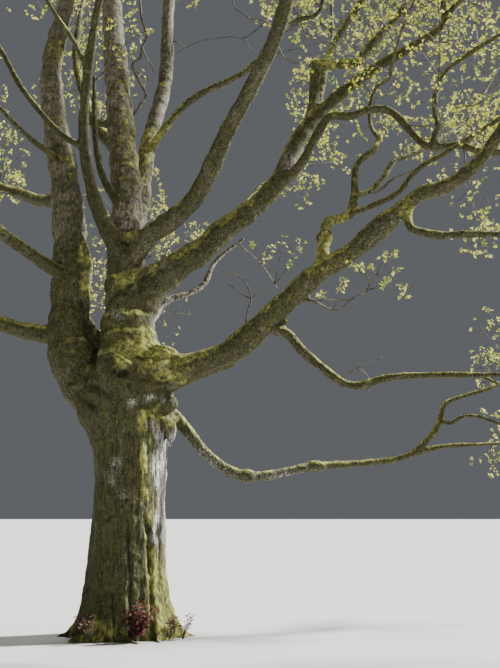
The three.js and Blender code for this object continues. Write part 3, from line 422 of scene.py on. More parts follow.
# Ridges of callus: route and radii.
RIDGES = [
    ([(-0.38, -0.16, 4.55), (-0.25, -0.28, 4.67), (-0.11, -0.33, 4.78), (0.0, -0.3, 4.87),
      (0.13, -0.22, 4.97), (0.33, -0.2, 5.09)],
     [0.03, 0.06, 0.075, 0.07, 0.06, 0.04]),
    ([(0.49, -0.24, 2.94), (0.57, -0.22, 2.82), (0.59, -0.2, 2.7), (0.56, -0.18, 2.5)],
     [0.055, 0.085, 0.07, 0.02]),
    ([(0.3, -0.46, 2.93), (0.42, -0.39, 2.89), (0.55, -0.29, 2.87), (0.66, -0.14, 2.9)],
     [0.03, 0.05, 0.055, 0.05]),
    ([(0.1, -0.46, 3.76), (0.26, -0.4, 3.78), (0.42, -0.32, 3.75), (0.56, -0.3, 3.66)],
     [0.03, 0.05, 0.05, 0.03]),
    ([(-0.36, -0.3, 5.72), (-0.22, -0.32, 5.52), (-0.06, -0.32, 5.47), (0.1, -0.3, 5.58)],
     [0.04, 0.06, 0.07, 0.05]),
    ([(0.16, -0.4, 3.1), (0.2, -0.42, 2.6), (0.22, -0.42, 2.0)], [0.03, 0.05, 0.02]),
    ([(-0.2, -0.56, 3.75), (-0.13, -0.58, 3.69), (-0.04, -0.59, 3.62)], [0.035, 0.055, 0.06]),
    ([(-0.67, 0.12, 4.2), (-0.69, 0.12, 4.5), (-0.72, 0.13, 4.85), (-0.74, 0.16, 5.15),
      (-0.79, 0.2, 5.4), (-0.87, 0.26, 5.7)],
     [0.02, 0.05, 0.07, 0.1, 0.1, 0.04]),
    ([(-0.68, 0.22, 4.44), (-0.64, 0.18, 4.28), (-0.6, 0.16, 4.1), (-0.56, 0.14, 3.9), (-0.52, 0.12, 3.7)],
     [0.03, 0.08, 0.11, 0.12, 0.12]),
    ([(2.94, -1.13, 4.96), (3.2, -1.22, 5.16), (3.46, -1.32, 5.36), (3.7, -1.4, 5.56)],
     [0.1, 0.145, 0.155, 0.09]),
]
RIDGE_SPACING = 0.04

# Creases cut into the wood: route along the surface, half width and depth.
CREASES = [
    ([(0.42, -0.64, 0.0), (0.41, -0.62, 0.2), (0.4, -0.6, 0.37), (0.38, -0.56, 0.64), (0.36, -0.5, 0.95),
      (0.34, -0.48, 1.2), (0.3, -0.46, 1.53)], 0.034, 0.13),
    ([(0.15, -0.68, 0.0), (0.13, -0.64, 0.35), (0.11, -0.58, 0.8), (0.08, -0.53, 1.14),
      (0.06, -0.5, 1.5)], 0.022, 0.06),
    ([(-0.08, -0.68, 0.0), (-0.1, -0.62, 0.35), (-0.14, -0.57, 0.6)], 0.022, 0.05),
    ([(-0.3, -0.66, 0.0), (-0.28, -0.6, 0.3), (-0.25, -0.54, 0.6)], 0.02, 0.03),
    ([(-0.17, -0.58, 3.52), (-0.08, -0.6, 3.47), (0.04, -0.58, 3.5)], 0.04, 0.07),
    ([(0.14, -0.55, 3.44), (0.3, -0.5, 3.38), (0.48, -0.46, 3.36), (0.68, -0.34, 3.42)], 0.026, 0.022),
    ([(0.12, -0.48, 3.72), (0.22, -0.46, 3.68)], 0.03, 0.05),
    ([(-0.62, -0.05, 4.28), (-0.58, -0.15, 4.1), (-0.54, -0.3, 3.92), (-0.53, -0.3, 3.8),
      (-0.48, -0.36, 3.6)], 0.05, 0.1),
    ([(-0.88, -0.3, 3.28), (-0.65, -0.4, 3.16), (-0.42, -0.46, 2.98)], 0.06, 0.05),
    ([(-0.82, -0.3, 3.39), (-0.62, -0.42, 3.44), (-0.42, -0.5, 3.52)], 0.05, 0.035),
    ([(-0.5, -0.46, 3.34), (-0.32, -0.52, 3.22), (-0.14, -0.56, 3.08)], 0.05, 0.035),
    ([(-0.36, -0.3, 4.52), (-0.24, -0.36, 4.6), (-0.11, -0.4, 4.68), (0.03, -0.36, 4.78)], 0.03, 0.055),
    ([(0.42, -0.42, 2.95), (0.54, -0.36, 2.96), (0.66, -0.24, 2.99)], 0.018, 0.012),
    ([(0.4, -0.42, 2.92), (0.46, -0.36, 2.84), (0.47, -0.32, 2.68)], 0.022, 0.045),
    ([(0.28, -0.48, 3.06), (0.3, -0.48, 2.9), (0.32, -0.46, 2.7)], 0.022, 0.03),
]
CREASE_SPACING = 0.03
# How far from its route a crease is looked for, and how much a gap in depth counts beside one across.
CREASE_MARGIN, CREASE_REACH = 0.3, 0.3
# The wrinkled fold where the long bough leaves: place, radii, and how deep and far apart the wrinkles are.
FOLD_PLACE, FOLD_RADII = (0.34, -0.34, 3.84), (0.22, 0.24, 0.16)
WRINKLE_DEPTH, WRINKLE_SPACING = 0.012, 0.07

# Patches on the bark, by what grows there, with the fresh moss patches partly painted light: place, reach and
# how much.
PATCHES = {
    "lichen": [
        ((-0.12, -0.47, 2.28), 0.1, 0.52), ((-0.16, -0.46, 2.05), 0.12, 0.48),
        ((-0.02, -0.5, 1.83), 0.1, 0.55), ((0.03, -0.52, 1.15), 0.1, 0.4),
        ((0.1, -0.56, 3.08), 0.08, 0.7), ((0.32, -0.5, 3.14), 0.09, 0.7),
        ((0.32, -0.45, 2.8), 0.09, 0.6), ((-0.17, -0.35, 4.38), 0.17, 0.6),
        ((0.47, -0.54, 3.58), 0.07, 0.8), ((0.52, -0.42, 3.15), 0.1, 0.6),
        ((0.36, 0.0, 4.2), 0.16, 0.7), ((-0.6, 0.14, 5.0), 0.12, 0.6),
        ((0.36, -0.2, 3.98), 0.1, 0.5), ((1.1, 0.1, 2.4), 0.5, 0.3),
        ((2.0, 0.3, 2.2), 0.5, 0.3),
    ],
    # Patches of bright moss: fresh moss, and painted light where the light falls on moss.
    "fresh": [
        ((-0.08, -0.64, 3.66), 0.15, 1.2), ((0.3, -0.36, 3.86), 0.28, 1.2),
        ((0.42, -0.5, 3.7), 0.18, 1.0), ((0.62, -0.4, 3.5), 0.16, 0.8),
        ((0.28, -0.45, 2.86), 0.14, 0.9), ((0.52, -0.34, 2.86), 0.14, 0.9),
        ((0.48, -0.3, 2.72), 0.14, 0.6), ((-0.3, -0.7, 0.15), 0.2, 0.9),
        ((0.62, -0.45, 0.28), 0.26, 0.9), ((-0.05, -0.36, 4.84), 0.16, 0.8),
        ((0.3, -0.25, 5.06), 0.1, 0.9), ((0.9, -0.4, 3.8), 0.3, 0.8),
        ((-0.68, 0.1, 5.34), 0.2, 1.0), ((-0.62, 0.1, 4.85), 0.2, 0.9),
        ((-1.29, 0.8, 9.0), 0.3, 0.8), ((-1.1, 0.45, 7.74), 0.3, 0.9),
        ((-0.95, 0.35, 6.9), 0.22, 1.0), ((0.1, 0.5, 7.4), 0.34, 1.1),
        ((0.0, 0.35, 6.9), 0.26, 0.9), ((-0.3, 0.6, 8.2), 0.2, 0.8),
        ((2.66, -0.95, 5.1), 0.4, 0.8), ((3.72, -1.5, 5.46), 0.16, 1.0),
        ((2.95, -0.72, 5.64), 0.3, 0.7), ((2.95, 0.95, 8.9), 0.35, 0.7),
        ((-0.05, -0.35, 5.48), 0.18, 0.9),
    ],
    "pale": [
        ((-0.08, -0.26, 5.74), 0.24, 1.1), ((0.5, -0.2, 5.12), 0.15, 0.4),
        ((2.3, 0.42, 6.85), 0.2, 0.9),
    ],
}
# How much moss comes with a patch of fresh and lit moss, and how much any other patch leaves off.
MOSS_WITH_FRESH_AND_LIT, MOSS_LEFT_OFF = 0.3, -0.6

# Stems whose upper bark is paler: how much, and how much less moss there is.
PALE_STEMS = {"stem_left": (0.4, 0.26), "stem_centre": (0.45, 0.26), "stem_right": (0.4, 0.18)}
# The pale strip down the trunk: the bearing of its edge at a level, and how far that turns with each metre.
STRIP_BEARING, STRIP_LEVEL, STRIP_TURN = -40, 1.3, 9
# Limbs that stand in deep shade, with how much painted shade darkens each one's bark.
SHADED = {
    "bough_dark": 0.5, "bough_inner": 0.5, "bough_dark_spur": 0.45, "bough_high_fork": 0.5,
    "bough_high_right": 0.2, "bough_arched": 0.2, "bough_mid_right": 0.12,
}

# Sucker clumps: bearing, distance from the axis, shoots, height, how widely they fan, first tint and seed.
# One with no distance stands against the trunk.
SUCKERS = {
    "suckers_front": (-73, None, 60, 0.32, 2.9, 0, 51),
    "suckers_side": (-32, None, 9, 0.16, 2.2, 1, 52),
    "sprigs_left": (-116, 0.79, 8, 0.26, 2.4, 2, 53),
    "sprigs_right": (-24, 0.87, 6, 0.25, 2.2, 1, 54),
}
SUCKER_JOINTS, SUCKER_DROOP = 4, 0.35
STALK_FOOT, STALK_TIP = 0.006, 0.003
ABOVE_GROUND = 0.002

# Lights: how wide each is in degrees, and where it stands. All of them aim at the middle of the tree.
LIGHTS = {"key": (5, (14, 5, 16)), "fill": (60, (7, -15, 7)), "sky": (50, (1, 9, 16))}
LIGHT_AIM = Vector((0.5, 0, 5))
CAMERA_X, CAMERA_Y = 1.67, -13.0
FLOOR_SIZE = 600


def random_source(seed):
    """The solids' own seeded random numbers, so that the same twigs come here."""
    state = seed * 7919 + 17

    def draw():
        nonlocal state
        state = (state * 1664525 + 1013904223) & 0xFFFFFFFF
        return state / 4294967296

    return draw


def jitter(random):
    """A small way in any direction."""
    return Vector([random() - 0.5 for _ in range(3)])


def square_to(along, turn):
    """A way square to another, turned about it."""
    side = along.cross(UP if abs(along.z) < UPRIGHT else Vector((1, 0, 0))).normalized()
    side.rotate(Matrix.Rotation(turn, 3, along))
    return side


def cloud(places):
    """Smooth noise at each place, from about -1 to 1."""
    return np.array([noise.noise(Vector(place)) for place in places])


def lerp(a, b, share):
    return a + (b - a) * share


def smoothstep(low, high, value):
    share = np.clip((value - low) / (high - low), 0, 1)
    return share * share * (3 - 2 * share)


def hidden_way(start, bearing, rise, reach, seed):
    """A hidden bough's route: it climbs a little more with each step and wanders from side to side."""
    random = random_source(seed)
    spot = Vector(start)
    way = [spot.copy()]
    for step in range(HIDDEN_STEPS):
        turn = math.radians(bearing + (random() - 0.5) * 2 * HIDDEN_WANDER)
        climb = math.radians(rise + step * HIDDEN_LIFT + (random() - 0.5) * HIDDEN_WANDER)
        level = math.cos(climb)
        heading = Vector((math.cos(turn) * level, math.sin(turn) * level, math.sin(climb)))
        spot = spot + heading * (reach / HIDDEN_STEPS)
        way.append(spot.copy())
    return way


def smooth_route(way, spacing):
    """Evenly spaced points on a centripetal Catmull-Rom curve through the way's points."""
    way = np.array([tuple(p) for p in way], float)
    ends = np.vstack([2 * way[0] - way[1], way, 2 * way[-1] - way[-2]])
    fine = [way[:1]]
    for p0, p1, p2, p3 in zip(ends, ends[1:], ends[2:], ends[3:]):
        spans = [max(np.linalg.norm(b - a), 1e-9) for a, b in ((p0, p1), (p1, p2), (p2, p3))]
        knots = np.cumsum([0] + [span**0.5 for span in spans])
        t = np.linspace(knots[1], knots[2], CURVE_STEPS + 1)[1:, None]

        def blend(a, b, low, high):
            return (a * (high - t) + b * (t - low)) / (high - low)

        first = blend(p0, p1, knots[0], knots[1])
        second = blend(p1, p2, knots[1], knots[2])
        third = blend(p2, p3, knots[2], knots[3])
        low = blend(first, second, knots[0], knots[2])
        high = blend(second, third, knots[1], knots[3])
        fine.append(blend(low, high, knots[1], knots[2]))
    fine = np.vstack(fine)
    along = np.concatenate([[0], np.cumsum(np.linalg.norm(np.diff(fine, axis=0), axis=1))])
    count = max(3, round(along[-1] / spacing))
    even = np.linspace(0, along[-1], count + 1)
    return np.column_stack([np.interp(even, along, fine[:, axis]) for axis in range(3)]), along[-1]


class Limb:
    """One tapering limb: its way points, its smooth route, and its radius at each point of the route."""

    def __init__(self, foot, tip, taper, collar, way):
        self.foot = foot
        self.tip = tip
        self.way = [Vector(p) for p in way]
        self.route, self.length = smooth_route(self.way, ROUTE_SPACING)
        share = np.linspace(0, 1, len(self.route))
        swell = 1 + collar * np.exp(-share * self.length / (COLLAR_LENGTH * foot))
        self.radius = (tip + (foot - tip) * (1 - share) ** taper) * swell

    def at(self, share):
        """Place, heading and radius at a share of the length."""
        index = min(int(share * (len(self.route) - 1)), len(self.route) - 2)
        heading = Vector(self.route[index + 1] - self.route[index]).normalized()
        return Vector(self.route[index]), heading, float(self.radius[index])


def all_limbs():
    limbs = {name: Limb(*row) for name, row in LIMBS.items()}
    for name, (parent, index, foot, tip, bearing, rise, reach, seed) in HIDDEN_BOUGHS.items():
        way = hidden_way(LIMBS[parent][4][index], bearing, rise, reach, seed)
        limbs[name] = Limb(foot, tip, LIMB_TAPER, LIMB_COLLAR, way)
    return limbs


TREE_LIMBS = all_limbs()
SKIN_LIMBS = list(TREE_LIMBS.items())
SKIN_LIMBS += [(part, Limb(foot, tip, LIMB_TAPER, LIMB_COLLAR, way)) for part, foot, tip, way in SPURS]


def trunk_relief(bearing, height):
    """How far the trunk stands out beyond its plain oval, at a bearing and height."""
    out = np.zeros_like(bearing)
    for root, reach, rise in BUTTRESSES:
        turn = np.angle(np.exp(1j * (bearing - math.radians(root))))
        out += reach * np.exp(-((turn / BUTTRESS_SPREAD) ** 2) - np.maximum(height, 0) / rise)
    wide = np.interp(height, TRUNK_STATIONS[:, 0], TRUNK_STATIONS[:, 1])
    for burr, level, width, stand in BURRS:
        turn = np.angle(np.exp(1j * (bearing - math.radians(burr))))
        apart = np.hypot(turn * wide, height - level) / width
        out += stand * np.exp(-BURR_ROUNDNESS * apart**2)
    return out


def trunk_oval(height):
    return [np.interp(height, TRUNK_STATIONS[:, 0], TRUNK_STATIONS[:, column]) for column in (1, 2, 3)]


def select_only(*objects):
    bpy.ops.object.select_all(action="DESELECT")
    for thing in objects:
        thing.select_set(True)
    bpy.context.view_layer.objects.active = objects[0]


def read_places(mesh):
    places = np.empty(len(mesh.vertices) * 3, np.float32)
    mesh.vertices.foreach_get("co", places)
    return places.reshape(-1, 3).astype(float)


def write_places(mesh, places):
    mesh.vertices.foreach_set("co", places.astype(np.float32).ravel())
    mesh.update()


def read_normals(mesh):
    normals = np.empty(len(mesh.vertices) * 3, np.float32)
    mesh.vertices.foreach_get("normal", normals)
    return normals.reshape(-1, 3).astype(float)


def apply_modifier(thing, kind, **settings):
    select_only(thing)
    made = thing.modifiers.new(kind.lower(), kind)
    for name, value in settings.items():
        setattr(made, name, value)
    bpy.ops.object.modifier_apply(modifier=made.name)


def draw_trunk():
    """The trunk, drawn up ring by ring from a circle and shaped by its stations, roots and burrs."""
    bpy.ops.mesh.primitive_circle_add(
        vertices=TRUNK_SIDES, radius=1, fill_type="NGON", location=(0, 0, -TRUNK_SINK))
    trunk = bpy.context.object
    step = (TRUNK_TOP + TRUNK_SINK) / TRUNK_RINGS
    bpy.ops.object.mode_set(mode="EDIT")
    for _ in range(TRUNK_RINGS):
        bpy.ops.mesh.extrude_region_move(TRANSFORM_OT_translate={"value": (0, 0, step)})
    bpy.ops.mesh.select_all(action="SELECT")
    bpy.ops.mesh.normals_make_consistent(inside=False)
    bpy.ops.object.mode_set(mode="OBJECT")
    bpy.ops.object.transform_apply(location=True, rotation=True, scale=True)
    places = read_places(trunk.data)
    bearing = np.arctan2(places[:, 1], places[:, 0])
    wide, deep, lean = trunk_oval(places[:, 2])
    out = trunk_relief(bearing, places[:, 2])
    places[:, 0] = lean + np.cos(bearing) * (wide + out)
    places[:, 1] = np.sin(bearing) * (deep + out)
    write_places(trunk.data, places)
    return trunk


def draw_tubes(tubes):
    """Round tubes along routes, each with its own radii, as one mesh."""
    curve = bpy.data.curves.new("limb_routes", "CURVE")
    curve.dimensions = "3D"
    curve.bevel_depth = 1
    curve.bevel_resolution = 4
    curve.use_fill_caps = True
    for route, radius in tubes:
        spline = curve.splines.new("POLY")
        spline.points.add(len(route) - 1)
        spline.points.foreach_set("co", np.column_stack([route, np.ones(len(route))]).ravel())
        spline.points.foreach_set("radius", np.asarray(radius, float))
    made = bpy.data.objects.new("limb_routes", curve)
    bpy.context.scene.collection.objects.link(made)
    select_only(made)
    bpy.ops.object.convert(target="MESH")
    return bpy.context.object


# Old limbs swell and sink: how much, and how far apart. The skin loses a little when it is smoothed.
KNOT_SWELL = 0.04
KNOT_WAVES = (1.1, 0.53, 0.27)
SMOOTHING_LOSS = 0.003
# The foot of the left stem lies within the head of the trunk: how much of its girth shows, and between where.
LEFT_FOOT, LEFT_FOOT_FROM, LEFT_FOOT_TO = 0.3, -0.25, 0.65


def knotted(limb, seed):
    """A limb's radii with slow swellings along it, as an old limb has."""
    random = random_source(seed)
    along = np.linspace(0, limb.length, len(limb.route))
    swell = np.zeros_like(along)
    for wave in KNOT_WAVES:
        swell += np.sin(along / wave * math.tau + random() * math.tau)
    radius = limb.radius * (1 + KNOT_SWELL * swell)
    if limb is TREE_LIMBS["stem_left"]:
        radius = radius * lerp(LEFT_FOOT, 1.0, smoothstep(LEFT_FOOT_FROM, LEFT_FOOT_TO, along))
    return radius + SMOOTHING_LOSS


def root_tube(bearing, bend, reach, thick):
    """A root that leaves the flare and sinks into the ground."""
    share = np.linspace(0, 1, ROOT_POINTS)
    turn = np.radians(bearing + bend * share**1.5)
    out = lerp(ROOT_START, reach, share)
    height = ROOT_HEIGHT * (1 - share) ** 2.2 - 0.01 * share
    route = np.column_stack([out * np.cos(turn), out * np.sin(turn), height])
    return route, lerp(thick, ROOT_END, share**1.2)


def draw_wood(voxel):
    """Trunk, limbs, roots, lumps and ridges melted into one closed skin."""
    tubes = [(limb.route, knotted(limb, KNOT_SEED + i)) for i, (_, limb) in enumerate(SKIN_LIMBS)]
    tubes += [root_tube(*root) for root in ROOTS]
    for way, radii in RIDGES:
        route, _ = smooth_route(way, RIDGE_SPACING)
        shares = np.linspace(0, 1, len(route))
        tubes.append((route, np.interp(shares, np.linspace(0, 1, len(radii)), radii)))
    parts = [draw_trunk(), draw_tubes(tubes)]
    for place, size in LUMPS:
        bpy.ops.mesh.primitive_ico_sphere_add(subdivisions=4, radius=1, location=place, scale=size)
        parts.append(bpy.context.object)
    select_only(*parts)
    bpy.ops.object.join()
    wood = bpy.context.object
    bpy.ops.object.transform_apply(location=True, rotation=True, scale=True)
    apply_modifier(wood, "REMESH", mode="VOXEL", voxel_size=voxel, use_smooth_shade=True)
    apply_modifier(wood, "SMOOTH", factor=0.5, iterations=5)
    return wood


# How far from a limb its bark is looked for, and how many places are measured at once.
BARK_MARGIN, BATCH = 0.25, 20000


def bark_field(places):
    """For each place: whose bark it is (0 for the trunk), that limb's radius, and the place in its frame."""
    wide, deep, lean = trunk_oval(places[:, 2])
    bearing = np.arctan2(places[:, 1], places[:, 0] - lean)
    out = trunk_relief(bearing, places[:, 2])
    oval = 1 / np.hypot(np.cos(bearing) / (wide + out), np.sin(bearing) / (deep + out))
    beside = np.hypot(places[:, 0] - lean, places[:, 1]) - oval
    above = places[:, 2] - TRUNK_TOP
    best = np.where(above > 0, np.hypot(np.maximum(beside, 0), above), beside)
    owner = np.zeros(len(places), int)
    girth = oval.copy()
    flow = places.copy()
    for index, (_, limb) in enumerate(SKIN_LIMBS, 1):
        margin = limb.radius.max() + BARK_MARGIN
        low, high = limb.route.min(0) - margin, limb.route.max(0) + margin
        near = np.where(np.all((places > low) & (places < high), axis=1))[0]
        start, span = limb.route[:-1], np.diff(limb.route, axis=0)
        length = np.linalg.norm(span, axis=1)
        heading = span / length[:, None]
        side = np.cross(heading, (0.02, 0.01, 1.0))
        side /= np.linalg.norm(side, axis=1)[:, None]
        over = np.cross(side, heading)
        along = np.concatenate([[0], np.cumsum(length)])
        for some in np.array_split(near, max(1, len(near) // BATCH)):
            rel = places[some][:, None, :] - start[None]
            share = np.clip(np.einsum("nmk,mk->nm", rel, heading) / length, 0, 1)
            gap = rel - share[..., None] * span[None]
            radius = limb.radius[:-1] + share * np.diff(limb.radius)
            depth = np.linalg.norm(gap, axis=2) - radius
            pick = depth.argmin(axis=1)
            rows = np.arange(len(some))
            closer = depth[rows, pick] < best[some]
            rows, pick, mine = rows[closer], pick[closer], some[closer]
            best[mine] = depth[rows, pick]
            owner[mine] = index
            girth[mine] = radius[rows, pick]
            offset = gap[rows, pick]
            flow[mine, 0] = np.einsum("nk,nk->n", offset, side[pick])
            flow[mine, 1] = np.einsum("nk,nk->n", offset, over[pick])
            flow[mine, 2] = along[pick] + share[rows, pick] * length[pick]
    return owner, girth, flow


def carve(places, normals):
    """Cuts the creases, and wrinkles the fold where the long bough leaves. Also gives how deep they cut."""
    cut = np.zeros(len(places))
    for way, width, depth in CREASES:
        route, _ = smooth_route(way, CREASE_SPACING)
        low, high = route.min(0) - CREASE_MARGIN, route.max(0) + CREASE_MARGIN
        near = np.where(np.all((places > low) & (places < high), axis=1))[0]
        gap = places[near][:, None, :] - route[None]
        gap[..., 1] *= CREASE_REACH
        apart = np.linalg.norm(gap, axis=2)
        fade = np.sin(np.linspace(0.12, 1, len(route)) * math.pi) ** 0.4
        rough = 1 + 0.7 * cloud(Vector(point) * 9 for point in route)
        deep = depth * fade * rough * np.exp(-((apart / width) ** 2))
        cut[near] = np.maximum(cut[near], deep.max(axis=1))
    fold = np.exp(-np.sum(((places - FOLD_PLACE) / FOLD_RADII) ** 2, axis=1))
    ripple = np.sin((places[:, 2] + places[:, 0] * 0.35) * math.tau / WRINKLE_SPACING)
    wrinkle = fold * WRINKLE_DEPTH * ripple
    return places - normals * (cut + wrinkle)[:, None], cut


def hollows(mesh, rounds):
    """How far each point lies below its surroundings, in metres: over nought in hollows and cracks."""
    places, normals = read_places(mesh), read_normals(mesh)
    edges = np.empty(len(mesh.edges) * 2, np.int32)
    mesh.edges.foreach_get("vertices", edges)
    one, other = edges.reshape(-1, 2).T
    count = np.bincount(one, minlength=len(places)) + np.bincount(other, minlength=len(places))
    smooth = places.copy()
    for _ in range(rounds):
        total = np.empty_like(smooth)
        for axis in range(3):
            total[:, axis] = np.bincount(one, smooth[other, axis], len(places))
            total[:, axis] += np.bincount(other, smooth[one, axis], len(places))
        smooth = total / count[:, None]
    return np.einsum("nk,nk->n", smooth - places, normals)


WEIGHT_STEPS = 24


def set_group(thing, name, weights):
    """A vertex group with its weights dealt out in small steps."""
    group = thing.vertex_groups.new(name=name)
    steps = np.round(np.clip(weights, 0, 1) * WEIGHT_STEPS).astype(int)
    for step in range(1, WEIGHT_STEPS + 1):
        rows = np.where(steps == step)[0]
        if len(rows):
            group.add(rows.tolist(), step / WEIGHT_STEPS, "REPLACE")
    return name


def swell(thing, name, weights, strength, size, detail, stretch):
    """A Displace modifier, applied: cloud noise of one size, where the weights say, stretched upwards."""
    texture = bpy.data.textures.new(name, "CLOUDS")
    texture.noise_scale = size
    texture.noise_depth = detail
    ruler = bpy.data.objects.new(name + "_ruler", None)
    ruler.scale = (1, 1, stretch)
    bpy.context.scene.collection.objects.link(ruler)
    bpy.context.view_layer.update()
    apply_modifier(
        thing, "DISPLACE", texture=texture, texture_coords="OBJECT", texture_coords_object=ruler,
        strength=strength, mid_level=0.5, vertex_group=set_group(thing, name, weights),
    )
    bpy.data.objects.remove(ruler)
    bpy.data.textures.remove(texture)


def limb_growth(height, upward, patch, owner):
    """On the limbs: moss on top, lichen below, paler bark high up, and fresh moss with painted light where
    they face the sky.
    """
    names = list(TREE_LIMBS)
    moss = 0.56 + 0.3 * upward + 0.22 * patch - 0.1 * smoothstep(6, 10, height)
    lichen = 0.14 - 0.1 * upward - 0.22 * patch
    pale = 0.04 + 0.1 * smoothstep(6.0, 9.0, height)
    # Brighter moss on faces turned up: fresh moss, and painted light from above.
    fresh = 0.95 * smoothstep(0.14, 0.62, upward) + 0.2 * patch
    high = smoothstep(4.6, 6.4, height)
    for name, (paler, less_moss) in PALE_STEMS.items():
        mine = owner == names.index(name) + 1
        moss = np.where(mine, moss - less_moss * high, moss)
        pale = np.where(mine, 0.1 + paler * high, pale)
        lichen = np.where(mine, lichen + 0.12 * high, lichen)
    fresh = np.where(owner == names.index("stem_left") + 1, 0.45 * fresh, fresh)
    return {"moss": moss, "lichen": lichen, "pale": pale, "fresh": fresh}


def trunk_growth(places, patch):
    """On the trunk: a torn pale strip under lichen, and fresh moss with painted light along its edge and at
    the foot.
    """
    height = places[:, 2]
    bearing = np.degrees(np.arctan2(places[:, 1], places[:, 0]))
    beside = bearing - (STRIP_BEARING - STRIP_TURN * (height - STRIP_LEVEL))
    ragged = cloud(places * (7, 7, 2.6))
    torn = cloud(places * (19, 19, 5.5) + (0, 0, 40))
    strip = smoothstep(-5, 7, beside + 16 * ragged + 14 * torn) * smoothstep(30, 5, bearing)
    strip *= smoothstep(0.55, 1.25, height + 0.5 * torn) * smoothstep(3.0, 2.6, height)
    streak = np.exp(-(((beside + 8 + 12 * ragged) / 7) ** 2)) * smoothstep(0.2, 0.8, height)
    streak *= smoothstep(3.1, 2.8, height) * smoothstep(-0.3, 0.2, ragged + torn)
    foot = smoothstep(-60, -50, bearing) * smoothstep(40, 10, bearing) * smoothstep(1.5, 0.8, height)
    moss = 0.56 + 0.15 * patch + 0.2 * smoothstep(0.7, 0.1, height)
    moss += 0.3 * streak - (0.55 - 0.8 * np.maximum(ragged + torn, 0)) * strip + 0.2 * foot
    lichen = 0.1 - 0.1 * patch + 0.7 * strip - 0.2 * streak + 0.3 * foot * (torn > 0.1)
    pale = 0.03 + 0.72 * strip
    fresh = 0.1 * patch + 0.9 * streak + 0.35 * smoothstep(0.4, 0.1, height) + 0.6 * foot
    return {"moss": moss, "lichen": lichen, "pale": pale, "fresh": fresh}


def growth_of(places, normals, owner):
    """How much moss, lichen, pale bark and fresh moss there is at each place."""
    patch = cloud(Vector(place) * 1.4 for place in places)
    on_limbs = limb_growth(places[:, 2], normals[:, 2], patch, owner)
    on_trunk = trunk_growth(places, patch)
    amounts = {kind: np.where(owner == 0, on_trunk[kind], on_limbs[kind]) for kind in on_limbs}
    for kind, patches in PATCHES.items():
        with_moss = MOSS_WITH_FRESH_AND_LIT if kind == "fresh" else MOSS_LEFT_OFF
        for place, reach, amount in patches:
            near = np.exp(-np.sum(((places - place) / reach) ** 2, axis=1))
            amounts[kind] += amount * near
            amounts["moss"] += with_moss * amount * near
    return {kind: np.clip(amount, 0, 1) for kind, amount in amounts.items()}


# How far moss is drawn out on the trunk, up to what height and distance, and how far it is moved beyond.
LIE_SHARE, LIE_HEIGHT, LIE_AWAY, LIE_SUNK = 0.38, (2.4, 3.6), (0.8, 1.3), 1.86


def lie_of(places):
    """Places drawn out upwards on the trunk, where moss and lichen lie in streaks, with no seam above it."""
    height = places[:, 2]
    away = np.hypot(places[:, 0], places[:, 1])
    blend = np.maximum(smoothstep(*LIE_HEIGHT, height), smoothstep(*LIE_AWAY, away))
    drawn = lerp(LIE_SHARE * height, height - LIE_SUNK, blend)
    return np.column_stack([places[:, 0], places[:, 1], drawn])


def set_attribute(mesh, name, values):
    kind, field = ("FLOAT_VECTOR", "vector") if values.ndim > 1 else ("FLOAT", "value")
    mesh.attributes.new(name, kind, "POINT").data.foreach_set(field, values.astype(np.float32).ravel())


def face_centres(mesh):
    centres = np.empty(len(mesh.polygons) * 3, np.float32)
    mesh.polygons.foreach_get("center", centres)
    return centres.reshape(-1, 3).astype(float)


def cut_into_pieces(wood):
    """The skin parted into one closed piece for each limb, named after it."""
    owner, _, _ = bark_field(face_centres(wood.data))
    names = ["trunk", *TREE_LIMBS]
    owner = np.array([0] + [names.index(part) for part, _ in SKIN_LIMBS])[owner]
    for name in names:
        wood.data.materials.append(bpy.data.materials.new("part:" + name))
    wood.data.polygons.foreach_set("material_index", tidy_owner(wood.data, owner).astype(np.int32))
    select_only(wood)
    bpy.ops.object.mode_set(mode="EDIT")
    bpy.ops.mesh.select_all(action="SELECT")
    bpy.ops.mesh.separate(type="MATERIAL")
    bpy.ops.object.mode_set(mode="OBJECT")
    pieces = {}
    for piece in list(bpy.context.selected_objects):
        part = piece.data.materials[0].name.removeprefix("part:")
        piece.name = piece.data.name = part + "_bark"
        pieces[part] = piece
        close_cuts(piece)
    for name in names:
        bpy.data.materials.remove(bpy.data.materials["part:" + name])
    return pieces


OWNER_VOTES = 3


def tidy_owner(mesh, owner):
    """Gives each small island of faces to the limb that surrounds it."""
    corner_face = np.repeat(np.arange(len(mesh.polygons)), 3)
    edges = np.empty(len(mesh.loops), np.int32)
    mesh.loops.foreach_get("edge_index", edges)
    order = np.argsort(edges, kind="stable")
    shared = np.where(edges[order][:-1] == edges[order][1:])[0]
    pairs = np.column_stack([corner_face[order][shared], corner_face[order][shared + 1]])
    for _ in range(OWNER_VOTES):
        same = owner[pairs[:, 0]] == owner[pairs[:, 1]]
        for_it = np.bincount(pairs[same].ravel(), minlength=len(owner))
        lone = np.where(for_it <= 1)[0]
        flips = np.isin(pairs, lone)
        for column in (0, 1):
            rows = flips[:, column] & ~same
            owner[pairs[rows, column]] = owner[pairs[rows, 1 - column]]
    return owner


def close_cuts(piece):
    """Closes a piece where its neighbours were cut away, with a fan inside the wood behind each cut."""
    select_only(piece)
    bpy.ops.object.mode_set(mode="EDIT")
    bpy.ops.mesh.select_mode(type="EDGE")
    bpy.ops.mesh.select_all(action="DESELECT")
    bpy.ops.mesh.select_non_manifold(
        extend=False, use_wire=False, use_boundary=True,
        use_multi_face=False, use_non_contiguous=False, use_verts=False)
    bpy.ops.mesh.mark_sharp()
    bpy.ops.mesh.extrude_edges_move(TRANSFORM_OT_translate={"value": (0, 0, 0)})
    bpy.ops.mesh.merge(type="COLLAPSE")
    bpy.ops.object.mode_set(mode="OBJECT")


def rgba(color):
    """A plain colour made opaque; a socket's own colour as it is."""
    return color if isinstance(color, bpy.types.NodeSocket) else (*color, 1.0)


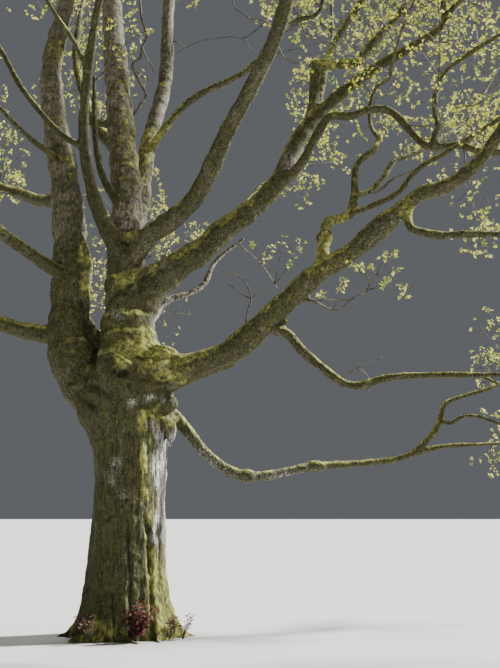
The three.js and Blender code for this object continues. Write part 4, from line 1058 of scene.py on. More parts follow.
class Wires:
    """A hand for wiring a node tree: each call adds a node, fills its sockets and gives back an output."""

    def __init__(self, tree):
        self.tree = tree

    def add(self, kind, sockets=None, out=0, **settings):
        node = self.tree.nodes.new(kind)
        for name, value in settings.items():
            setattr(node, name, value)
        for name, value in (sockets or {}).items():
            if isinstance(value, bpy.types.NodeSocket):
                self.tree.links.new(value, node.inputs[name])
            else:
                node.inputs[name].default_value = value
        return node.outputs[out] if len(node.outputs) else node

    def noise(self, where, scale, detail=3.0, rough=0.55):
        sockets = {"Vector": where, "Scale": scale, "Detail": detail, "Roughness": rough}
        return self.add("ShaderNodeTexNoise", sockets)

    def math(self, operation, a, b=0.0):
        return self.add("ShaderNodeMath", {0: a, 1: b}, operation=operation)

    def plus(self, a, b):
        return self.math("ADD", a, b)

    def minus(self, a, b):
        return self.math("SUBTRACT", a, b)

    def times(self, a, b):
        return self.math("MULTIPLY", a, b)

    def mix(self, share, a, b):
        return self.add("ShaderNodeMix", {0: share, 6: rgba(a), 7: rgba(b)}, out=2, data_type="RGBA")

    def bump(self, strength, distance, height, **under):
        sockets = {"Strength": strength, "Distance": distance, "Height": height, **under}
        return self.add("ShaderNodeBump", sockets)

    def range(self, value, low, high, to_low=0.0, to_high=1.0):
        sockets = {"Value": value, "From Min": low, "From Max": high, "To Min": to_low, "To Max": to_high}
        return self.add("ShaderNodeMapRange", sockets, interpolation_type="SMOOTHSTEP")

    def attribute(self, name, vector=False):
        return self.add("ShaderNodeAttribute", out="Vector" if vector else "Fac", attribute_name=name)

    def group(self, tree, sockets, out=0):
        return self.add("ShaderNodeGroup", sockets, out=out, node_tree=tree)


def new_group(name, takes, gives):
    """A shader node group with named sockets, and the hand to wire it."""
    tree = bpy.data.node_groups.new(name, "ShaderNodeTree")
    for socket, kind in takes.items():
        tree.interface.new_socket(socket, in_out="INPUT", socket_type="NodeSocket" + kind)
    for socket, kind in gives.items():
        tree.interface.new_socket(socket, in_out="OUTPUT", socket_type="NodeSocket" + kind)
    wires = Wires(tree)
    entry = tree.nodes.new("NodeGroupInput").outputs
    return tree, wires, entry


def patchy_cover():
    """Turns a smooth amount into ragged patches: where it is over a half, most of the bark is covered."""
    takes = {"Place": "Vector", "Amount": "Float", "Scale": "Float", "Edge": "Float"}
    tree, wires, entry = new_group("Patchy cover", takes, {"Mask": "Float"})
    coarse = wires.noise(entry["Place"], entry["Scale"], 5.0, 0.62)
    spread = wires.times(wires.minus(coarse, 0.5), 2.4)
    level = wires.plus(spread, wires.minus(entry["Amount"], 0.5))
    low = wires.times(entry["Edge"], -1.0)
    mask = wires.range(level, low, entry["Edge"])
    wires.add("NodeGroupOutput", {"Mask": mask})
    return tree


def bark_grain():
    """Grain along the limb: short fissures and plates, as a height and a shade."""
    takes, gives = {"Flow": "Vector", "Scale": "Float"}, {"Shade": "Float", "Height": "Float"}
    tree, wires, entry = new_group("Bark grain", takes, gives)
    drawn = wires.add("ShaderNodeVectorMath", {0: entry["Flow"], 1: (1.0, 1.0, 0.22)}, operation="MULTIPLY")
    fissure = wires.noise(drawn, entry["Scale"], 6.0, 0.6)
    plates = wires.noise(drawn, wires.times(entry["Scale"], 0.3), 4.0, 0.5)
    ridge = wires.math("ABSOLUTE", wires.minus(fissure, 0.5))
    shade = wires.plus(wires.times(ridge, 2.0), wires.times(plates, 0.7))
    height = wires.plus(wires.times(ridge, 1.4), wires.times(fissure, 0.6))
    wires.add("NodeGroupOutput", {"Shade": wires.range(shade, 0.2, 1.0), "Height": height})
    return tree


def moss_tuft():
    """The nap of a moss cushion, as a height and a light-to-dark shade."""
    tree, wires, entry = new_group("Moss tuft", {"Place": "Vector"}, {"Shade": "Float", "Height": "Float"})
    cushion = wires.noise(entry["Place"], 14.0, 3.0, 0.5)
    nap = wires.noise(entry["Place"], 110.0, 3.0, 0.7)
    height = wires.plus(cushion, wires.times(nap, 0.35))
    shade = wires.plus(wires.times(cushion, 0.65), wires.times(nap, 0.5))
    wires.add("NodeGroupOutput", {"Shade": wires.range(shade, 0.4, 0.78), "Height": height})
    return tree


def new_material(name):
    material = bpy.data.materials.new(name)
    material.use_nodes = True
    material.node_tree.nodes.clear()
    return material, Wires(material.node_tree)


def finish_material(material, wires, color, roughness, normal=None, specular=0.5):
    sockets = {"Base Color": color, "Roughness": roughness, "Specular IOR Level": specular}
    if normal is not None:
        sockets["Normal"] = normal
    shader = wires.add("ShaderNodeBsdfPrincipled", sockets)
    wires.add("ShaderNodeOutputMaterial", {"Surface": shader})
    return material


def mossy_bark(name, settings, groups, pale=0.0, cover=0.0, crusted=0.0):
    """Old bark under a green film, lichen and moss. pale whitens it, cover adds moss, crusted adds lichen."""
    material, wires = new_material(name)
    place = wires.add("ShaderNodeTexCoord", out="Object")
    lie = wires.attribute("lie", vector=True)
    flow = wires.attribute("flow", vector=True)
    grain = wires.group(groups["grain"], {"Flow": flow, "Scale": 16.0}, out="Shade")
    grain_height = grain.node.outputs["Height"]
    tuft = wires.group(groups["moss"], {"Place": place}, out="Shade")
    tuft_height = tuft.node.outputs["Height"]

    def covered(where, amount, scale, edge):
        return wires.group(groups["cover"], {"Place": where, "Amount": amount, "Scale": scale, "Edge": edge})

    # Bark, dark in its fissures, and the green film on it, which is thin where the bark is pale.
    paleness = wires.plus(wires.attribute("pale"), pale)
    dark = wires.mix(paleness, settings.bark_dark, settings.bark_pale_dark)
    light = wires.mix(paleness, settings.bark_light, settings.bark_pale_light)
    bark = wires.mix(grain, dark, light)
    blotch = wires.range(wires.noise(lie, 6.0, 5.0, 0.65), 0.35, 0.65)
    bark = wires.mix(wires.times(blotch, 0.4), bark, light)
    film = wires.range(wires.noise(lie, 2.6, 4.0, 0.6), 0.22, 0.5, 0.25, 0.93)
    film = wires.times(film, wires.range(paleness, 0.1, 0.8, 1.0, 0.08))
    bark = wires.mix(film, bark, wires.mix(grain, settings.film_dark, settings.film_light))

    # Lichen: thin specks, white crusts where there is plenty, and dark ticks across pale bark.
    lichen = wires.plus(wires.attribute("lichen"), crusted)
    speck = covered(place, lichen, 34.0, 0.16)
    fleck = wires.range(wires.noise(place, 75.0, 3.0), 0.3, 0.7)
    crust = wires.mix(fleck, settings.lichen_dark, settings.lichen_light)
    bark = wires.mix(wires.times(speck, 0.3), bark, crust)
    patch = covered(place, wires.minus(lichen, 0.2), 36.0, 0.08)
    white = wires.mix(fleck, crust, settings.lichen_white)
    bark = wires.mix(wires.times(patch, 0.92), bark, white)
    drawn = wires.add("ShaderNodeVectorMath", {0: lie, 1: (1.0, 1.0, 0.5)}, operation="MULTIPLY")
    tick = wires.range(wires.noise(drawn, 21.0, 4.0, 0.7), 0.5, 0.57)
    tick = wires.times(tick, wires.range(paleness, 0.2, 0.7, 0.0, 0.92))
    bark = wires.mix(tick, bark, settings.bark_dark)

    # Moss, brighter where it is fresh and where light is painted on it.
    mossiness = wires.plus(wires.attribute("moss"), cover)
    moss = covered(lie, mossiness, 8.0, 0.26)
    old_moss = wires.mix(tuft, settings.moss_dark, settings.moss_mid)
    fresh_and_lit_moss = wires.mix(tuft, settings.moss_mid, settings.moss_fresh_and_lit)
    fresh = covered(lie, wires.attribute("fresh"), 7.0, 0.3)
    color = wires.mix(wires.times(moss, 0.93), bark, wires.mix(fresh, old_moss, fresh_and_lit_moss))

    # Small dark spots in the painted shade's colour, and light specks over it all that are partly lichen
    # flecks and partly painted glints. Then painted shade in cracks, hollows and deeply shaded limbs.
    dark_spot = wires.range(wires.noise(drawn, 30.0, 5.0, 0.75), 0.5, 0.6, 0.0, 0.7)
    painted_glint = wires.range(wires.noise(place, 46.0, 2.0), 0.6, 0.7, 0.0, 0.28)
    color = wires.mix(painted_glint, wires.mix(dark_spot, color, settings.hollow), settings.lichen_light)
    hollow = wires.times(wires.attribute("hollow"), 0.8)
    color = wires.mix(hollow, color, settings.hollow)
    rough = wires.plus(wires.times(moss, 0.1), 0.86)

    bark_bump = wires.bump(0.9, 0.012, grain_height)
    normal = wires.bump(0.9, 0.02, wires.times(moss, tuft_height), Normal=bark_bump)
    return finish_material(material, wires, color, rough, normal, specular=0.2)


def twig_bark(settings):
    """Thin brown bark, patched with lichen."""
    material, wires = new_material("twig bark")
    place = wires.add("ShaderNodeTexCoord", out="Object")
    patch = wires.range(wires.noise(place, 9.0, 4.0), 0.35, 0.7)
    color = wires.mix(patch, settings.twig_dark, settings.twig_light)
    bump = wires.bump(0.5, 0.002, wires.noise(place, 90.0))
    return finish_material(material, wires, color, 0.8, bump, specular=0.3)


def soft_leaf(name, color, roughness):
    """A thin young leaf: its own colour, a little uneven, with a soft surface."""
    material, wires = new_material(name)
    place = wires.add("ShaderNodeTexCoord", out="Object")
    uneven = wires.range(wires.noise(place, 18.0, 2.0), 0.3, 0.7)
    deeper = [value * 0.72 for value in color]
    shade = wires.mix(uneven, deeper, color)
    bump = wires.bump(0.25, 0.002, wires.noise(place, 160.0))
    return finish_material(material, wires, shade, roughness, bump, specular=0.2)


def tubes_arrays(ways, radii, sides):
    """Vertices and faces of many tapering tubes at once. ways is tubes x rings x 3; each ends in a point."""
    ways, radii = np.asarray(ways, float), np.asarray(radii, float)
    count, rings, _ = ways.shape
    heading = np.gradient(ways, axis=1)
    heading /= np.maximum(np.linalg.norm(heading, axis=2, keepdims=True), 1e-9)
    lean = np.where(np.abs(heading[:, :1, 2:3]) > 0.9, (1.0, 0.0, 0.0), (0.0, 0.0, 1.0))
    side = np.cross(heading, np.broadcast_to(lean, heading.shape))
    side /= np.linalg.norm(side, axis=2, keepdims=True)
    over = np.cross(heading, side)
    body = rings - 1
    turns = np.arange(sides) * math.tau / sides
    ring = np.cos(turns)[:, None] * side[:, :body, None] + np.sin(turns)[:, None] * over[:, :body, None]
    verts = ways[:, :body, None] + ring * radii[:, :body, None, None]
    verts = np.concatenate([verts.reshape(count, -1, 3), ways[:, -1:]], axis=1).reshape(-1, 3)
    this = np.arange(sides)
    following = (this + 1) % sides
    faces = []
    for low in range(0, (body - 1) * sides, sides):
        high = low + sides
        faces.append(np.stack([low + this, low + following, high + following], 1))
        faces.append(np.stack([low + this, high + following, high + this], 1))
    last, point = (body - 1) * sides, body * sides
    faces.append(np.stack([last + this, last + following, np.full(sides, point)], 1))
    faces.append(np.array([[0, i + 1, i] for i in range(1, sides - 1)]))
    one = np.concatenate(faces)
    return verts, (one[None] + np.arange(count)[:, None, None] * (point + 1)).reshape(-1, 3)


class Bundle:
    """Many small shapes, gathered and then joined into one mesh."""

    def __init__(self):
        self.verts, self.faces, self.kinds, self.count = [], [], [], 0

    def add(self, verts, faces, kinds=None):
        if not len(verts):
            return
        self.verts.append(verts)
        self.faces.append(faces + self.count)
        self.kinds.append(np.zeros(len(faces), np.int32) if kinds is None else kinds)
        self.count += len(verts)

    def mesh(self, name, materials):
        verts, faces = np.concatenate(self.verts), np.concatenate(self.faces)
        made = bpy.data.meshes.new(name)
        made.vertices.add(len(verts))
        made.vertices.foreach_set("co", verts.astype(np.float32).ravel())
        made.loops.add(faces.size)
        made.loops.foreach_set("vertex_index", faces.astype(np.int32).ravel())
        made.polygons.add(len(faces))
        made.polygons.foreach_set("loop_start", np.arange(0, faces.size, 3, dtype=np.int32))
        made.polygons.foreach_set("material_index", np.concatenate(self.kinds).astype(np.int32))
        made.polygons.foreach_set("use_smooth", np.ones(len(faces), bool))
        made.update(calc_edges=True)
        for material in materials:
            made.materials.append(material)
        thing = bpy.data.objects.new(name, made)
        bpy.context.scene.collection.objects.link(thing)
        return thing


class Mass:
    """The stem of a mass of twigs, as the solids have it."""

    def __init__(self, name):
        on, self.reach, self.seed, self.part = MASSES[name]
        self.name, self.limb = name, TREE_LIMBS[on]
        self.random = random_source(self.seed)
        tip, before = self.limb.way[-1], self.limb.way[-2]
        heading = (tip - before).normalized()
        step = self.reach / GROWTH_NODES
        self.places = [tip - heading * STEM_SUNK]
        self.headings = [heading.copy()]
        for _ in range(GROWTH_NODES):
            heading += jitter(self.random) * GROWTH_BEND
            heading.z += GROWTH_LIFT
            heading.normalize()
            self.places.append(self.places[-1] + heading * step)
            self.headings.append(heading.copy())
        self.foot = self.limb.tip * STEM_FOOT
        self.line = np.array([tuple(p) for p in self.places])


def distance_to_line(place, line):
    start, span = line[:-1], np.diff(line, axis=0)
    rel = np.asarray(place) - start
    share = np.clip(np.einsum("mk,mk->m", rel, span) / np.einsum("mk,mk->m", span, span), 0, 1)
    return np.linalg.norm(rel - share[:, None] * span, axis=1).min()


LIMB_LINES = [(np.array([tuple(p) for p in limb.way]), limb.foot) for limb in TREE_LIMBS.values()]


def has_room(place, own, masses):
    if place.z < LOWEST:
        return False
    home = distance_to_line(place, own.line) + 2 * ROOM
    if any(distance_to_line(place, other.line) < home for other in masses if other is not own):
        return False
    return all(distance_to_line(place, line) > thick + ROOM for line, thick in LIMB_LINES)


def spray_way(start, end, random):
    """The way that a shoot's spray goes on, in the solids' own order of draws."""
    way = (end - start).normalized() + jitter(random) * SPRAY_TURN
    way.z -= SPRAY_DROOP * random()
    random()
    return way.normalized()


def shoots_of(mass, masses):
    """The shoots that the solid of this mass has: foot, end, radius at the foot, and the way of its spray."""
    random = mass.random
    last_end = mass.places[-1] + mass.headings[-1] * (SPRAY_LENGTH / 2)
    shoots = [(mass.places[-2], last_end, SHOOT_TIP, spray_way(mass.places[-2], last_end, random))]
    for node in range(1, GROWTH_NODES):
        along = mass.headings[node]
        side = along.cross(UP).normalized()
        side.rotate(Matrix.Rotation((node % 2) * (math.pi / 2) + random() - 0.5, 3, along))
        root = mass.places[node - 1].lerp(mass.places[node], 0.5)
        for hand in (1, -1):
            angle = PAIR_ANGLE + (random() - 0.5) * 2 * PAIR_JITTER
            heading = along * math.cos(angle) + side * (hand * math.sin(angle))
            heading = (heading + jitter(random) * (GROWTH_BEND / 2)).normalized()
            shortening = 1 - SHOOT_SHORTENING * node / GROWTH_NODES
            size = lerp(SHORTEST_SHOOT, LONGEST_SHOOT, random())
            length = mass.reach * SHOOT_LENGTH * shortening * size
            end = root + heading * length
            foot = lerp(mass.foot, STEM_TIP, node / GROWTH_NODES) * SHOOT_FOOT
            way = spray_way(root, end, random)
            spots = [root.lerp(end, share) for share in ROOM_TESTED_AT] + [end + heading * SPRAY_LENGTH]
            if all(has_room(spot, mass, masses) for spot in spots):
                shoots.append((root, end, foot, way))
    return shoots


# The finer twigs, which the solids leave out: pairs, length and radius as shares, and the steps of each. The
# first value is for the side twigs of a shoot, the second for their own.
FINE_PAIRS = (5, 1)
FINE_LENGTH = (0.56, 0.55)
FINE_RADIUS = (0.55, 0.6)
FINE_STEPS = (3, 2)
FINE_ANGLE = math.radians(48)
FINE_LIFT = 0.16
FINE_WANDER = 0.22
FINE_REACH = 0.75
THINNEST = 0.0022
SHOOT_WANDER = 0.09
# The stems of the masses: how far apart their rings are, and their radius at the end.
STEM_SPACING, STEM_END = 0.16, 0.004
# How far inside the solids' box the twigs keep, and the leaves on them.
TWIG_MARGIN, LEAF_MARGIN = 0.13, 0.1


def box_within(margin):
    """The lowest and highest corners of the solids' box, drawn in by a margin."""
    return np.array(CAD_BOX[0]) + margin, np.array(CAD_BOX[1]) - margin


class Crown:
    """Gathers the twigs of one part of the crown, and the ends where leaves open."""

    def __init__(self):
        self.twigs = {}
        self.ends = []

    def twig(self, way, foot, tip, leafy):
        """Keeps one tapering twig, and its end if leaves open there."""
        points = np.clip([tuple(place) for place in way], *box_within(TWIG_MARGIN))
        ways, radii = self.twigs.setdefault(len(points), ([], []))
        ways.append(points)
        radii.append(np.linspace(foot, tip, len(points)))
        if leafy:
            self.ends.append((Vector(points[-1]), (way[-1] - way[-2]).normalized()))

    def wandering(self, start, heading, length, steps, random):
        """A way that turns a little and lifts with each step."""
        way, spot, now = [start.copy()], start.copy(), heading.copy()
        for _ in range(steps):
            now = now + jitter(random) * FINE_WANDER
            now.z += FINE_LIFT / steps
            now.normalize()
            spot = spot + now * (length / steps)
            way.append(spot.copy())
        return way

    def side_twigs(self, way, length, foot, order, random):
        """Opposite pairs along a twig, each pair a quarter turn from the last, and their own finer pairs."""
        pairs = FINE_PAIRS[order]
        quarter = random() * math.pi
        for pair in range(pairs):
            share = (pair + 0.75) / (pairs + 0.35)
            spot = share * (len(way) - 1)
            index = min(int(spot), len(way) - 2)
            root = way[index].lerp(way[index + 1], spot - index)
            along = (way[index + 1] - way[index]).normalized()
            side = square_to(along, quarter + pair * math.pi / 2 + (random() - 0.5))
            for hand in (1, -1):
                angle = FINE_ANGLE + (random() - 0.5) * 2 * PAIR_JITTER
                heading = (along * math.cos(angle) + side * (hand * math.sin(angle))).normalized()
                size = length * FINE_LENGTH[order] * (1 - 0.45 * share) * lerp(0.6, 1.25, random())
                size = min(size, FINE_REACH)
                thick = max(foot * FINE_RADIUS[order], THINNEST)
                finer = self.wandering(root, heading, size, FINE_STEPS[order], random)
                self.twig(finer, thick, THINNEST, True)
                if order == 0:
                    self.side_twigs(finer, size, thick, 1, random)

    def shoot(self, root, end, foot, way, random):
        """A shoot of the solids, drawn with a slight wander, and its spray drawn as a last twig."""
        length = (end - root).length
        line = [root.lerp(end, share) for share in np.linspace(0, 1, 5)]
        for spot in line[1:-1]:
            spot += jitter(random) * (SHOOT_WANDER * length)
        line.append(end + way * (SPRAY_LENGTH * 0.9))
        self.twig(line, foot, THINNEST, True)
        self.side_twigs(line, length, max(foot * 0.8, 0.006), 0, random)


# Seeds that each kind of growth counts on from, and the parts of the crown in the order they are made.
KNOT_SEED, FINE_SEED, LEAF_SEED, SIDE_SEED, DRAWN_SEED = 100, 500, 700, 900, 950
CROWN_PARTS = ("top", "front", "right", "low", "left", "back")
TWIG_SPACING = 0.09


def grow_crown():
    """The whole crown, grown on from the limbs' tips by the solids' rule and carried to finer twigs."""
    masses = [Mass(name) for name in MASSES]
    crowns = {part: Crown() for part in CROWN_PARTS}
    stems = {part: [] for part in crowns}
    for mass in masses:
        crown = crowns[mass.part]
        stems[mass.part].append((mass.places, mass.foot))
        fine = random_source(mass.seed + FINE_SEED)
        for root, end, foot, way in shoots_of(mass, masses):
            crown.shoot(root, end, foot, way, fine)
    part_of = {limb: part for limb, _, _, part in MASSES.values()}
    for index, (name, start) in enumerate(LEAFY_FROM.items()):
        limb = TREE_LIMBS[name]
        grow_side_shoots(crowns[part_of.get(name, "top")], limb, start, random_source(SIDE_SEED + index))
    for part, foot, way in THIN_TWIGS:
        route, _ = smooth_route(way, TWIG_SPACING)
        crowns[part].twig(route, foot, 0.6 * foot, False)
    for index, (part, start, ends) in enumerate(LEAFY_SHOOTS):
        random = random_source(DRAWN_SEED + index)
        for end in ends:
            span = Vector(end) - Vector(start)
            way = crowns[part].wandering(Vector(start), span.normalized(), span.length, 4, random)
            crowns[part].twig(way, 0.006, THINNEST, True)
            crowns[part].side_twigs(way[2:], span.length * 0.25, 0.004, 1, random)
    return masses, crowns, stems


def grow_side_shoots(crown, limb, start, random):
    """Leafy shoots along a limb's outer part."""
    count = max(1, round(limb.length * (1 - start) / SIDE_SHOOT_SPACING))
    for i in range(count):
        share = min(start + (1 - start) * (i + random()) / count, 0.98)
        place, along, radius = limb.at(share)
        side = along.cross(UP).normalized()
        side.rotate(Matrix.Rotation(random() * math.tau, 3, along))
        if side.y < 0 and place.x > 0 and random() < BEHIND:
            side.y = -side.y
        side.z += 0.25
        heading = (side + along * 0.6).normalized()
        length = lerp(0.6, 1.5, random())
        way = crown.wandering(place + side * (radius * 0.6), heading, length, 4, random)
        if min(p.z for p in way) > LOWEST:
            crown.twig(way, 0.011, THINNEST, True)
            crown.side_twigs(way, length, 0.009, 0, random)


# A young five-lobed leaf, one long: one half of its outline from the stalk up, its tip and its middle.
LEAF_OUTLINE = [
    (0.0, 0.0, 0.0), (0.34, -0.04, 0.03), (0.3, 0.2, -0.02), (0.58, 0.46, 0.08), (0.24, 0.5, -0.03),
]
LEAF_TIP = (0.0, 1.0, -0.1)
LEAF_MIDDLE = (0.0, 0.3, -0.09)
LEAF_STALK, STALK_HALF = 0.45, 0.025


def leaf_shape():
    """The leaf's points and faces: a fan round the middle, and a sliver of stalk."""
    right = [*LEAF_OUTLINE, LEAF_TIP]
    left = [(-x, y, z) for x, y, z in reversed(right[1:-1])]
    outline = right + left
    stalk = [(side * STALK_HALF, -LEAF_STALK, 0.05) for side in (1, -1)]
    points = outline + [LEAF_MIDDLE] + stalk
    middle = len(outline)
    faces = [(middle, i, (i + 1) % middle) for i in range(middle)]
    faces.append((0, middle + 2, middle + 1))
    points = np.array(points) + (0, LEAF_STALK, 0)
    return points, np.array(faces)


# A cluster of flowers: how many, the turn from one to the next, their petals, and how long these are.
FLOWERS, FLOWER_TURN = 6, 2.4
PETALS, PETAL_LENGTH = 4, 0.17


def blossom_shape():
    """A loose cluster of small star flowers on a dome, each a four-pointed fan."""
    points, faces = [], []
    for i in range(FLOWERS):
        turn = i * FLOWER_TURN
        spread = 0.22 + 0.34 * ((i * 0.618) % 1)
        height = 0.75 - spread * 0.5 + 0.3 * ((i * 0.37) % 1)
        centre = Vector((math.cos(turn) * spread, height, math.sin(turn) * spread))
        across = Vector((-math.sin(turn), 0.2, math.cos(turn))).normalized()
        over = centre.cross(across).normalized()
        base = len(points)
        points.append(tuple(centre * 0.82))
        for k in range(PETALS):
            angle = k * math.pi / 2 + i
            petal = across * math.cos(angle) + over * math.sin(angle)
            points.append(tuple(centre + petal * PETAL_LENGTH))
        faces += [(base, base + 1 + k, base + 1 + (k + 1) % PETALS) for k in range(PETALS)]
    return np.array(points), np.array(faces)


def turned(points, faces, places, frames, sizes):
    """Copies of one shape, each at its place, turned to its frame and scaled."""
    verts = np.einsum("pk,nik->npi", points, frames) * sizes[:, None, None] + places[:, None, :]
    all_faces = faces[None] + np.arange(len(places))[:, None, None] * len(points)
    return verts.reshape(-1, 3), all_faces.reshape(-1, 3)


def frame_of(along, roll):
    """Three axes as columns, with the second along the given way."""
    side = square_to(along, roll)
    return np.array([side, along, side.cross(along)]).T


# The share of twig ends with blossom, how far things droop, and how far a pair or a last leaf leans forward.
BLOSSOM_SHARE = 0.55
LEAF_DROOP, BLOSSOM_DROOP = 0.9, 0.25
PAIR_FORWARD, LAST_FORWARD = 0.55, 1.6


def open_leaves(ends, random, leaf_length, blossom_size, tints):
    """Leaves in opposite pairs and blossom clusters at the twigs' ends, with one tint to a spray."""
    leaf_rows, blossom_rows = [], []
    for place, along in ends:
        tint = int(random() * tints)
        roll = random() * math.tau
        with_blossom = random() < BLOSSOM_SHARE
        for k in range(2 if with_blossom else 3):
            side = square_to(along, roll + k * math.pi + (random() - 0.5) * 0.7)
            way = along * (PAIR_FORWARD if k < 2 else LAST_FORWARD) + side
            way.z -= LEAF_DROOP * random()
            frame = frame_of(way.normalized(), random() * 1.6 - 0.8)
            leaf_rows.append((place, frame, leaf_length * lerp(0.65, 1.25, random()), tint))
        if with_blossom:
            way = (along + Vector((0, 0, -BLOSSOM_DROOP * random()))).normalized()
            size = blossom_size * lerp(0.7, 1.3, random())
            blossom_rows.append((place, frame_of(way, roll), size, int(random() * 2)))
    return leaf_rows, blossom_rows


def add_copies(bundle, shape, rows):
    """Adds a copy of one shape for each row of place, frame, size and kind that lies well inside the box."""
    points, faces = shape
    low, high = box_within(LEAF_MARGIN)
    places = np.array([tuple(row[0]) for row in rows])
    keep = np.all((places > low) & (places < high), axis=1)
    frames, sizes, kinds = (np.array([row[column] for row in rows])[keep] for column in (1, 2, 3))
    verts, all_faces = turned(points, faces, places[keep], frames, sizes)
    bundle.add(verts, all_faces, np.repeat(kinds, len(faces)))


def own(piece, slot, *nodes):
    """Tells the frame what a piece rides on, and hides the solids that it stands for. slot is not used."""
    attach(piece, "root")
    if nodes:
        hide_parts(*nodes)


class BarkSettings(bpy.types.PropertyGroup):
    voxel: FloatProperty(
        name="Skin detail", description="Size of the skin's mesh",
        default=0.022, min=0.01, max=0.06, unit="LENGTH")
    swell: FloatProperty(
        name="Unevenness", description="How far old wood swells and sinks",
        default=0.05, min=0, max=0.2, unit="LENGTH")
    moss_depth: FloatProperty(
        name="Moss depth", description="How far moss cushions stand up",
        default=0.03, min=0, max=0.1, unit="LENGTH")
    bark_dark: FloatVectorProperty(
        name="Bark, dark", description="Bark in its fissures", subtype="COLOR", default=(0.05, 0.041, 0.026))
    bark_light: FloatVectorProperty(
        name="Bark, light", description="Bark on its plates", subtype="COLOR", default=(0.2, 0.17, 0.115))
    bark_pale_dark: FloatVectorProperty(
        name="Pale bark, dark", description="Younger bark in its fissures",
        subtype="COLOR", default=(0.15, 0.12, 0.083))
    bark_pale_light: FloatVectorProperty(
        name="Pale bark, light", description="Younger bark on its plates",
        subtype="COLOR", default=(0.36, 0.325, 0.265))
    film_dark: FloatVectorProperty(
        name="Green film, dark", description="Algae in the fissures",
        subtype="COLOR", default=(0.036, 0.037, 0.014))
    film_light: FloatVectorProperty(
        name="Green film, light", description="Algae on the plates",
        subtype="COLOR", default=(0.125, 0.12, 0.05))
    lichen_dark: FloatVectorProperty(
        name="Lichen, dark", description="Thin lichen", subtype="COLOR", default=(0.2, 0.2, 0.155))
    lichen_light: FloatVectorProperty(
        name="Lichen, light", description="Thick lichen", subtype="COLOR", default=(0.36, 0.36, 0.32))
    lichen_white: FloatVectorProperty(
        name="Lichen, white", description="Crusts where lichen is plenty",
        subtype="COLOR", default=(0.52, 0.52, 0.5))
    moss_dark: FloatVectorProperty(
        name="Moss, dark", description="Old moss in its hollows",
        subtype="COLOR", default=(0.034, 0.034, 0.011))
    moss_mid: FloatVectorProperty(
        name="Moss, middle", description="Moss on its cushions", subtype="COLOR", default=(0.1, 0.104, 0.034))
    # The brightest moss: fresh moss, and painted light on moss where light falls.
    moss_fresh_and_lit: FloatVectorProperty(
        name="Moss, fresh", description="Moss in the light", subtype="COLOR", default=(0.45, 0.45, 0.11))
    # The colour of the painted shade in cracks, hollows and deeply shaded limbs, and of the small dark spots.
    hollow: FloatVectorProperty(
        name="Hollows", description="Deep cracks and hollows", subtype="COLOR", default=(0.012, 0.011, 0.005))
    twig_dark: FloatVectorProperty(
        name="Twig, dark", description="Fine twigs", subtype="COLOR", default=(0.04, 0.032, 0.02))
    twig_light: FloatVectorProperty(
        name="Twig, light", description="Fine twigs with lichen",
        subtype="COLOR", default=(0.125, 0.112, 0.072))


class LeafSettings(bpy.types.PropertyGroup):
    leaf_length: FloatProperty(
        name="Leaf length", description="Length of an opening leaf",
        default=0.05, min=0.02, max=0.2, unit="LENGTH")
    blossom_size: FloatProperty(
        name="Blossom size", description="Size of a blossom cluster",
        default=0.058, min=0.02, max=0.2, unit="LENGTH")
    leaf_bright: FloatVectorProperty(
        name="Leaf, bright", description="The brightest sprays", subtype="COLOR", default=(0.86, 0.88, 0.12))
    leaf_green: FloatVectorProperty(
        name="Leaf, green", description="The greener sprays", subtype="COLOR", default=(0.42, 0.52, 0.07))
    leaf_soft: FloatVectorProperty(
        name="Leaf, soft", description="The paler sprays", subtype="COLOR", default=(0.88, 0.86, 0.24))
    blossom: FloatVectorProperty(
        name="Blossom", description="Open flowers", subtype="COLOR", default=(0.86, 0.86, 0.16))
    blossom_green: FloatVectorProperty(
        name="Blossom, green", description="Flowers in bud", subtype="COLOR", default=(0.5, 0.55, 0.1))


class SuckerSettings(bpy.types.PropertyGroup):
    leaf_length: FloatProperty(
        name="Leaf length", description="Length of a red leaf",
        default=0.045, min=0.02, max=0.2, unit="LENGTH")
    red: FloatVectorProperty(
        name="Crimson", description="Most of the leaves", subtype="COLOR", default=(0.14, 0.022, 0.022))
    pink: FloatVectorProperty(
        name="Rose", description="Leaves that catch the light", subtype="COLOR", default=(0.11, 0.026, 0.024))
    orange: FloatVectorProperty(
        name="Orange", description="The youngest leaves", subtype="COLOR", default=(0.06, 0.024, 0.01))


class StageSettings(bpy.types.PropertyGroup):
    floor: FloatVectorProperty(
        name="Floor", description="Colour of the floor", subtype="COLOR", default=(0.4, 0.395, 0.38))
    backdrop: FloatVectorProperty(
        name="Backdrop", description="Colour around the tree", subtype="COLOR", default=(0.12, 0.126, 0.135))
    key: FloatProperty(name="Key light", description="Light from the right and behind", default=19.0, min=0)
    fill: FloatProperty(name="Fill light", description="Light from the front", default=0.55, min=0)
    sky: FloatProperty(name="Sky light", description="Soft light from above and behind", default=2.2, min=0)
    lens: FloatProperty(
        name="Lens", description="Focal length in millimetres", default=50.0, min=1, unit="NONE")
    eye_height: FloatProperty(
        name="Eye height", description="Camera above the ground", default=1.6, unit="LENGTH")
    look_up: FloatProperty(
        name="Look up", description="How far the camera looks up", default=math.radians(11), subtype="ANGLE")


# Three swells of the skin: how far apart their bumps are, how fine, and how far they are drawn out upwards.
BROAD_SWELL, RIB_SWELL, MOSS_SWELL = (0.32, 2, 1.0), (0.075, 1, 5.0), (0.07, 3, 1.0)
RIB_DEPTH = 0.022
# Painted shade in hollows: how deep a crease is where its painted shade is full, how far around a point
# counts, and where the painted shade starts and ends.
DARK_CREASE, HOLLOW_ROUNDS, HOLLOW_FROM, HOLLOW_TO = 0.07, 14, 0.003, 0.024


def shared_groups():
    """The shader groups that the barks share, each made once."""
    made = bpy.data.node_groups
    return {
        "cover": made.get("Patchy cover") or patchy_cover(),
        "grain": made.get("Bark grain") or bark_grain(),
        "moss": made.get("Moss tuft") or moss_tuft(),
    }


